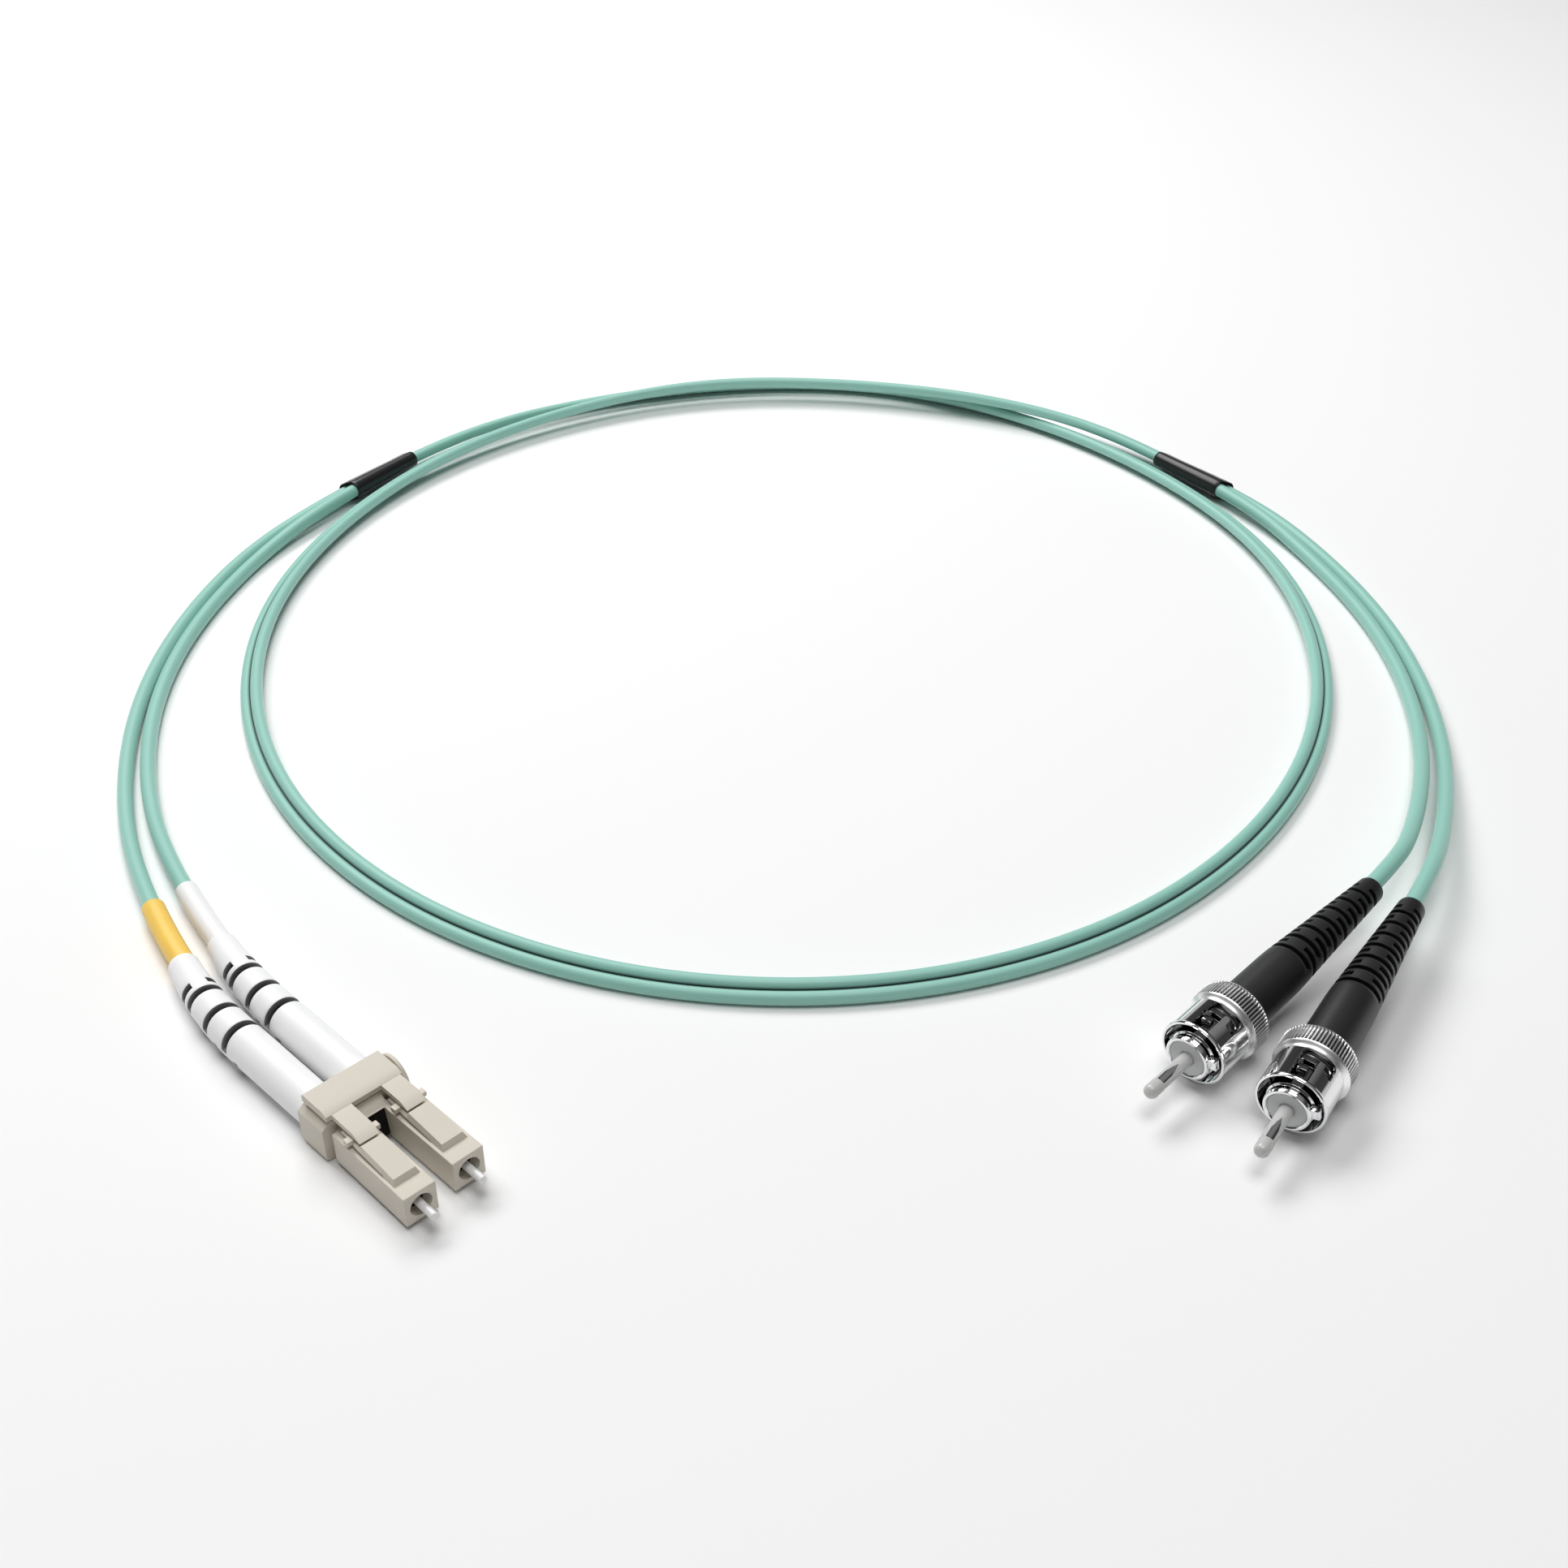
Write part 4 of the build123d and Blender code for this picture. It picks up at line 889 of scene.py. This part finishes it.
# painted shade: a near-black block in the gap in front of the cove
gap_shade_block = prism(LC, [(-15.6, -1.8), (-13.2, -1.8), (-13.8, 2.1), (-15.6, 2.1)], -1.3, 1.65, "side", 0)
ear = prism(LC, [(-18.75 + 3.0 * math.cos(k / 16 * math.pi), 0.75 + 3.0 * math.sin(k / 16 * math.pi))
                 for k in range(17)] + [(-21.2, -1.9), (-16.1, -1.9)], 6.2, 6.75, "side", 0.15)
clip = finish_mesh("clip_block", block[0], block[1], M["cream"])
cut_away(clip, [lathe(NOSE_A, [(-15.0, 1.77), (-18.0, 1.77)], 48, closed=False),
                lathe(NOSE_B, [(-14.0, 1.77), (-17.5, 1.77)], 48, closed=False)])
weighted(clip)
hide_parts("duplex_clip")
verts, faces = join_parts([cove, ear])
extra = weighted(finish_mesh("clip_cove_and_ear", verts, faces, M["cream"]))
shade = finish_mesh("clip_gap_shade", gap_shade_block[0], gap_shade_block[1], M["painted_shade"])

# trigger: a bar with a sloped front and two arms that end in a slanted face on the latch plates
side = [(-20.35, 3.5), (-20.35, 4.38), (-20.1, 4.6), (-16.2, 4.6), (-15.2, 4.17), (-15.2, 3.46), (-15.9, 3.46),
        (-15.9, 3.5)]
bar = prism(LC, side, -5.45, 5.45, "side", 0.06)
arms = [prism(D, [(-15.5, 4.15), (-11.15, 4.15), (-9.66, 3.52), (-9.72, 3.42), (-15.5, 3.42)],
              -1.4, 1.4, "side", 0.05) for D in (NOSE_A, NOSE_B)]
verts, faces = join_parts([bar] + arms)
trigger = weighted(finish_mesh("trigger_bar", verts, faces, M["cream"], body="trigger"))
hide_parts("clip_trigger")


# ---------------------------------------------------------------- bayonet connectors

def hooked_slot(D, side):
    """Cutter for one hooked channel: an outline in angle and distance, carried outwards.
    The channel runs back from the rim, turns to the side and hooks forward."""
    outline = [(102.5, -0.5), (71.5, -0.5), (71.5, -4.45), (61.0, -4.45), (61.0, -3.1), (41.5, -3.1),
               (41.5, -4.9), (47.0, -5.5), (102.5, -5.5)]
    scale = 12.73
    flat = rounded([(a / scale, f) for a, f in outline], [0.1, 0.1, 0.3, 0.28, 0.45, 0.1, 0.3, 0.4, 0.35], 5)
    a = np.radians(flat[:, 0] * scale + side)
    rings = []
    for r in (3.9, 4.9):
        rings.append(D.put(np.stack([flat[:, 1], r * np.cos(a), r * np.sin(a)], axis=1)))
    n = len(flat)
    verts = np.concatenate(rings)
    faces = [tuple(range(n)), tuple(range(n, 2 * n))[::-1]]
    faces += [((i + 1) % n, i, n + i, n + (i + 1) % n) for i in range(n)]
    return verts, faces


KNURL_TEETH, KNURL_DEPTH, KNURL_STEPS = 66, 0.2, 66 * 8


def knurl_band(f):
    """One between the knurl's two edges, falling to nothing over 0.12 mm at each."""
    return np.clip(np.minimum(-6.62 - f, f + 9.32) / 0.12, 0, 1)


def knurled(f, r, a):
    """Radius of the knurled ring: straight teeth, each a flattened cosine, cut only in the knurl's band."""
    tooth = np.clip(0.5 + 0.9 * np.cos(a * KNURL_TEETH), 0, 1)
    return r - KNURL_DEPTH * knurl_band(f) * (1 - tooth)


for tag, D in (("c", ST_C), ("d", ST_D)):
    # nut shell with the hooked channels and a rolled rim
    outer = rounded([(0.0, 4.17), (0.02, 4.5), (-0.22, 4.57), (-0.5, 4.5), (-5.6, 4.5), (-5.95, 4.4),
                     (-6.3, 4.4), (-6.3, 4.17)], [0.1, 0.12, 0.2, 0.1, 0.05, 0.05, 0, 0], 4)
    verts, faces = lathe(D, outer, 180)
    shell = finish_mesh("nut_shell_" + tag, verts, faces, M["chrome"], body="nut_" + tag)
    cut_away(shell, [hooked_slot(D, 0), hooked_slot(D, 180)])
    # smooth collar, knurled ring, bevel and rear hollow
    prof = [(-5.75, 4.2), (-5.75, 4.5), (-5.9, 4.53), (-6.1, 4.63), (-6.3, 4.82), (-6.45, 4.95), (-6.58, 4.995),
            (-6.68, 5.0), (-6.8, 5.0), (-7.6, 5.0), (-8.6, 5.0), (-9.2, 5.0), (-9.32, 4.99), (-9.42, 4.92),
            (-9.8, 4.62), (-9.9, 4.5), (-9.9, 3.8), (-9.8, 3.68), (-8.7, 3.67), (-8.7, 2.66), (-7.9, 2.66),
            (-7.9, 4.2)]
    verts, faces = lathe(D, prof, KNURL_STEPS, radius_at=knurled)
    # painted shade: the knurl's valleys are darkened through the mask, down to under a tenth of the colour
    turn = np.linspace(0, TAU, KNURL_STEPS, endpoint=False)
    f = np.array(prof)[:, 0][:, None]
    valley_shade = knurl_band(f) * np.clip(0.35 - 0.9 * np.cos(turn * KNURL_TEETH), 0, 1)
    ring = finish_mesh("nut_knurl_" + tag, verts, faces, M["knurl"], body="nut_" + tag, sharp=28,
                       shade_and_polish_mask=valley_shade.ravel())
    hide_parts("st_nut_" + tag)
    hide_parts("st_nut_" + tag)

    # barrel with a rounded lip and a groove behind it, its key and its block
    prof = rounded([(1.22, 2.52), (1.4, 2.7), (1.35, 2.98), (0.95, 3.1), (0.55, 2.92), (0.1, 2.92), (-0.1, 3.2),
                    (-4.0, 3.2), (-4.0, 4.0), (-4.8, 4.0), (-4.8, 2.6), (-9.9, 2.6), (-9.9, 1.6), (-23.5, 1.6),
                    (-23.5, 0.9), (-5.02, 0.9), (-5.02, 2.52)],
                   [0.05, 0.12, 0.15, 0.2, 0.15, 0.1, 0.12] + [0.05] * 10, 4)
    pieces = [lathe(D, prof, 96)]
    for angle, low, high, f0, f1 in ((12.0, 2.9, 4.0, -0.7, 0.9), (91.0, 2.85, 4.0, -3.3, -2.3)):
        c, s = math.cos(math.radians(angle)), math.sin(math.radians(angle))
        corners = [(low, -0.65), (high, -0.65), (high, 0.65), (low, 0.65)]
        pieces.append(prism(D, [(x * c - y * s, x * s + y * c) for x, y in corners], f0, f1, "end", 0.1))
    verts, faces = join_parts(pieces)
    # painted shade: the barrel behind its lip, which lies inside the nut and the boot, is darkened to about a quarter
    # of its colour
    along = (verts / MM - D.o) @ D.f
    body = finish_mesh("barrel_" + tag, verts, faces, M["chrome"], shade_and_polish_mask=np.where(along < -0.15, 0.8, 0.0))
    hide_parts("st_body_" + tag)

    coil("bayonet_spring_" + tag, D, -4.86, 2.57, 3.6, 0.4, "st_spring_" + tag, -4.85)

    # grey holder
    prof = rounded([(1.2, 0.96), (1.2, 2.5), (-5.0, 2.5), (-5.0, 0.94)], [0.1, 0.08, 0, 0], 4)
    verts, faces = lathe(D, prof, 72)
    holder = finish_mesh("ferrule_holder_" + tag, verts, faces, M["holder"])
    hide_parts("st_holder_" + tag)

    # ferrule: matte base, polished middle that starts in a pointed arch, white rounded tip
    tip = [(9.5 - 0.8 * (1 - math.cos(k / 10 * math.pi / 2)), 0.98 * math.sin(k / 10 * math.pi / 2) ** 0.8)
           for k in range(1, 11)]
    prof = [(9.5, 0.0)] + tip + [(f, 0.98) for f in np.linspace(8.6, 7.25, 6)]
    prof += [(7.2, 0.95)] + [(f, 0.93) for f in np.linspace(7.15, 1.5, 46)] + [(1.0, 0.93), (-4.0, 0.93), (-4.0, 0)]
    prof = np.array(prof)[1:-1]
    verts, faces = lathe(D, prof, 96, closed=False)
    f = np.repeat(prof[:, 0], 96)
    a = np.tile(np.linspace(0, 360, 96, endpoint=False), len(prof))
    off = np.abs((a - 75 + 180) % 360 - 180)
    arch = 3.5 + 1.7 * (off / 28) ** 1.3
    polished = ((f > arch) & (f < 7.16) & (off < 31)).astype(float)
    ferrule = finish_mesh("bayonet_ferrule_" + tag, verts, faces, M["ferrule"], shade_and_polish_mask=polished)
    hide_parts("st_ferrule_" + tag)


# ---------------------------------------------------------------- carried-over inner pieces

INNER = {"lc_crimp_ring": "brass", "st_thrust_washer": "chrome", "st_retaining_ring": "steel",
         "st_crimp_sleeve": "chrome"}
for name, obj in NODES.items():
    for start, mat in INNER.items():
        if name.startswith(start):
            obj.data.materials.clear()
            obj.data.materials.append(M[mat])


# ---------------------------------------------------------------- each leg's line, read backwards

for tag, extra in (("a", [sleeve_y]), ("b", [sleeve_w]), ("c", []), ("d", [])):
    line = LEG_LINES[tag][::-1]


# ---------------------------------------------------------------- stage

floor_mesh = bpy.data.meshes.new("floor")
floor_mesh.from_pydata([(-3, -3, 0), (3, -3, 0), (3, 3, 0), (-3, 3, 0)], [], [(0, 1, 2, 3)])
floor = bpy.data.objects.new("floor", floor_mesh)
bpy.context.scene.collection.objects.link(floor)
floor_mat = bpy.data.materials.new("pale_floor")
floor_mat.use_nodes = True
floor_bsdf = floor_mat.node_tree.nodes["Principled BSDF"]
floor_bsdf.inputs["Base Color"].default_value = (0.93, 0.93, 0.93, 1)
floor_bsdf.inputs["Roughness"].default_value = 0.7
floor_bsdf.inputs["Specular IOR Level"].default_value = 0.1
floor_mesh.materials.append(floor_mat)


def area(name, place, aim, size, power):
    light = bpy.data.lights.new(name, "AREA")
    light.shape, light.size, light.size_y, light.energy = "RECTANGLE", size[0], size[1], power
    obj = bpy.data.objects.new(name, light)
    bpy.context.scene.collection.objects.link(obj)
    obj.location = place
    d = np.array(aim, float) - np.array(place, float)
    d /= np.linalg.norm(d)
    obj.rotation_euler = (math.acos(-d[2]), 0, math.atan2(d[1], d[0]) - math.pi / 2)
    return obj


area("key", (-0.35, 0.6, 0.75), (0, 0.06, 0), (0.8, 0.4), 7.2)
area("top", (0.05, -0.05, 1.1), (0, 0.0, 0), (0.6, 0.6), 5.1)

world = bpy.data.worlds.new("soft_room")
bpy.context.scene.world = world
world.use_nodes = True
wt = world.node_tree
background = wt.nodes["Background"]
coord = node(wt, "ShaderNodeTexCoord", (-900, 0))
split = node(wt, "ShaderNodeSeparateXYZ", (-700, 0))
ramp = node(wt, "ShaderNodeValToRGB", (-400, 0))
wt.links.new(coord.outputs["Generated"], split.inputs[0])
wt.links.new(split.outputs["Z"], ramp.inputs["Fac"])
ramp.color_ramp.elements[0].position, ramp.color_ramp.elements[0].color = 0.0, (0.6, 0.6, 0.6, 1)
ramp.color_ramp.elements[1].position, ramp.color_ramp.elements[1].color = 1.0, (0.22, 0.22, 0.22, 1)
for place, level in ((0.12, 0.5), (0.2, 0.05), (0.5, 0.04), (0.72, 0.2)):
    e = ramp.color_ramp.elements.new(place)
    e.color = (level, level, level, 1)
wt.links.new(ramp.outputs["Color"], background.inputs["Color"])
background.inputs["Strength"].default_value = 1.0

bpy.context.scene.view_settings.view_transform = "Standard"
bpy.context.scene.view_settings.look = "None"
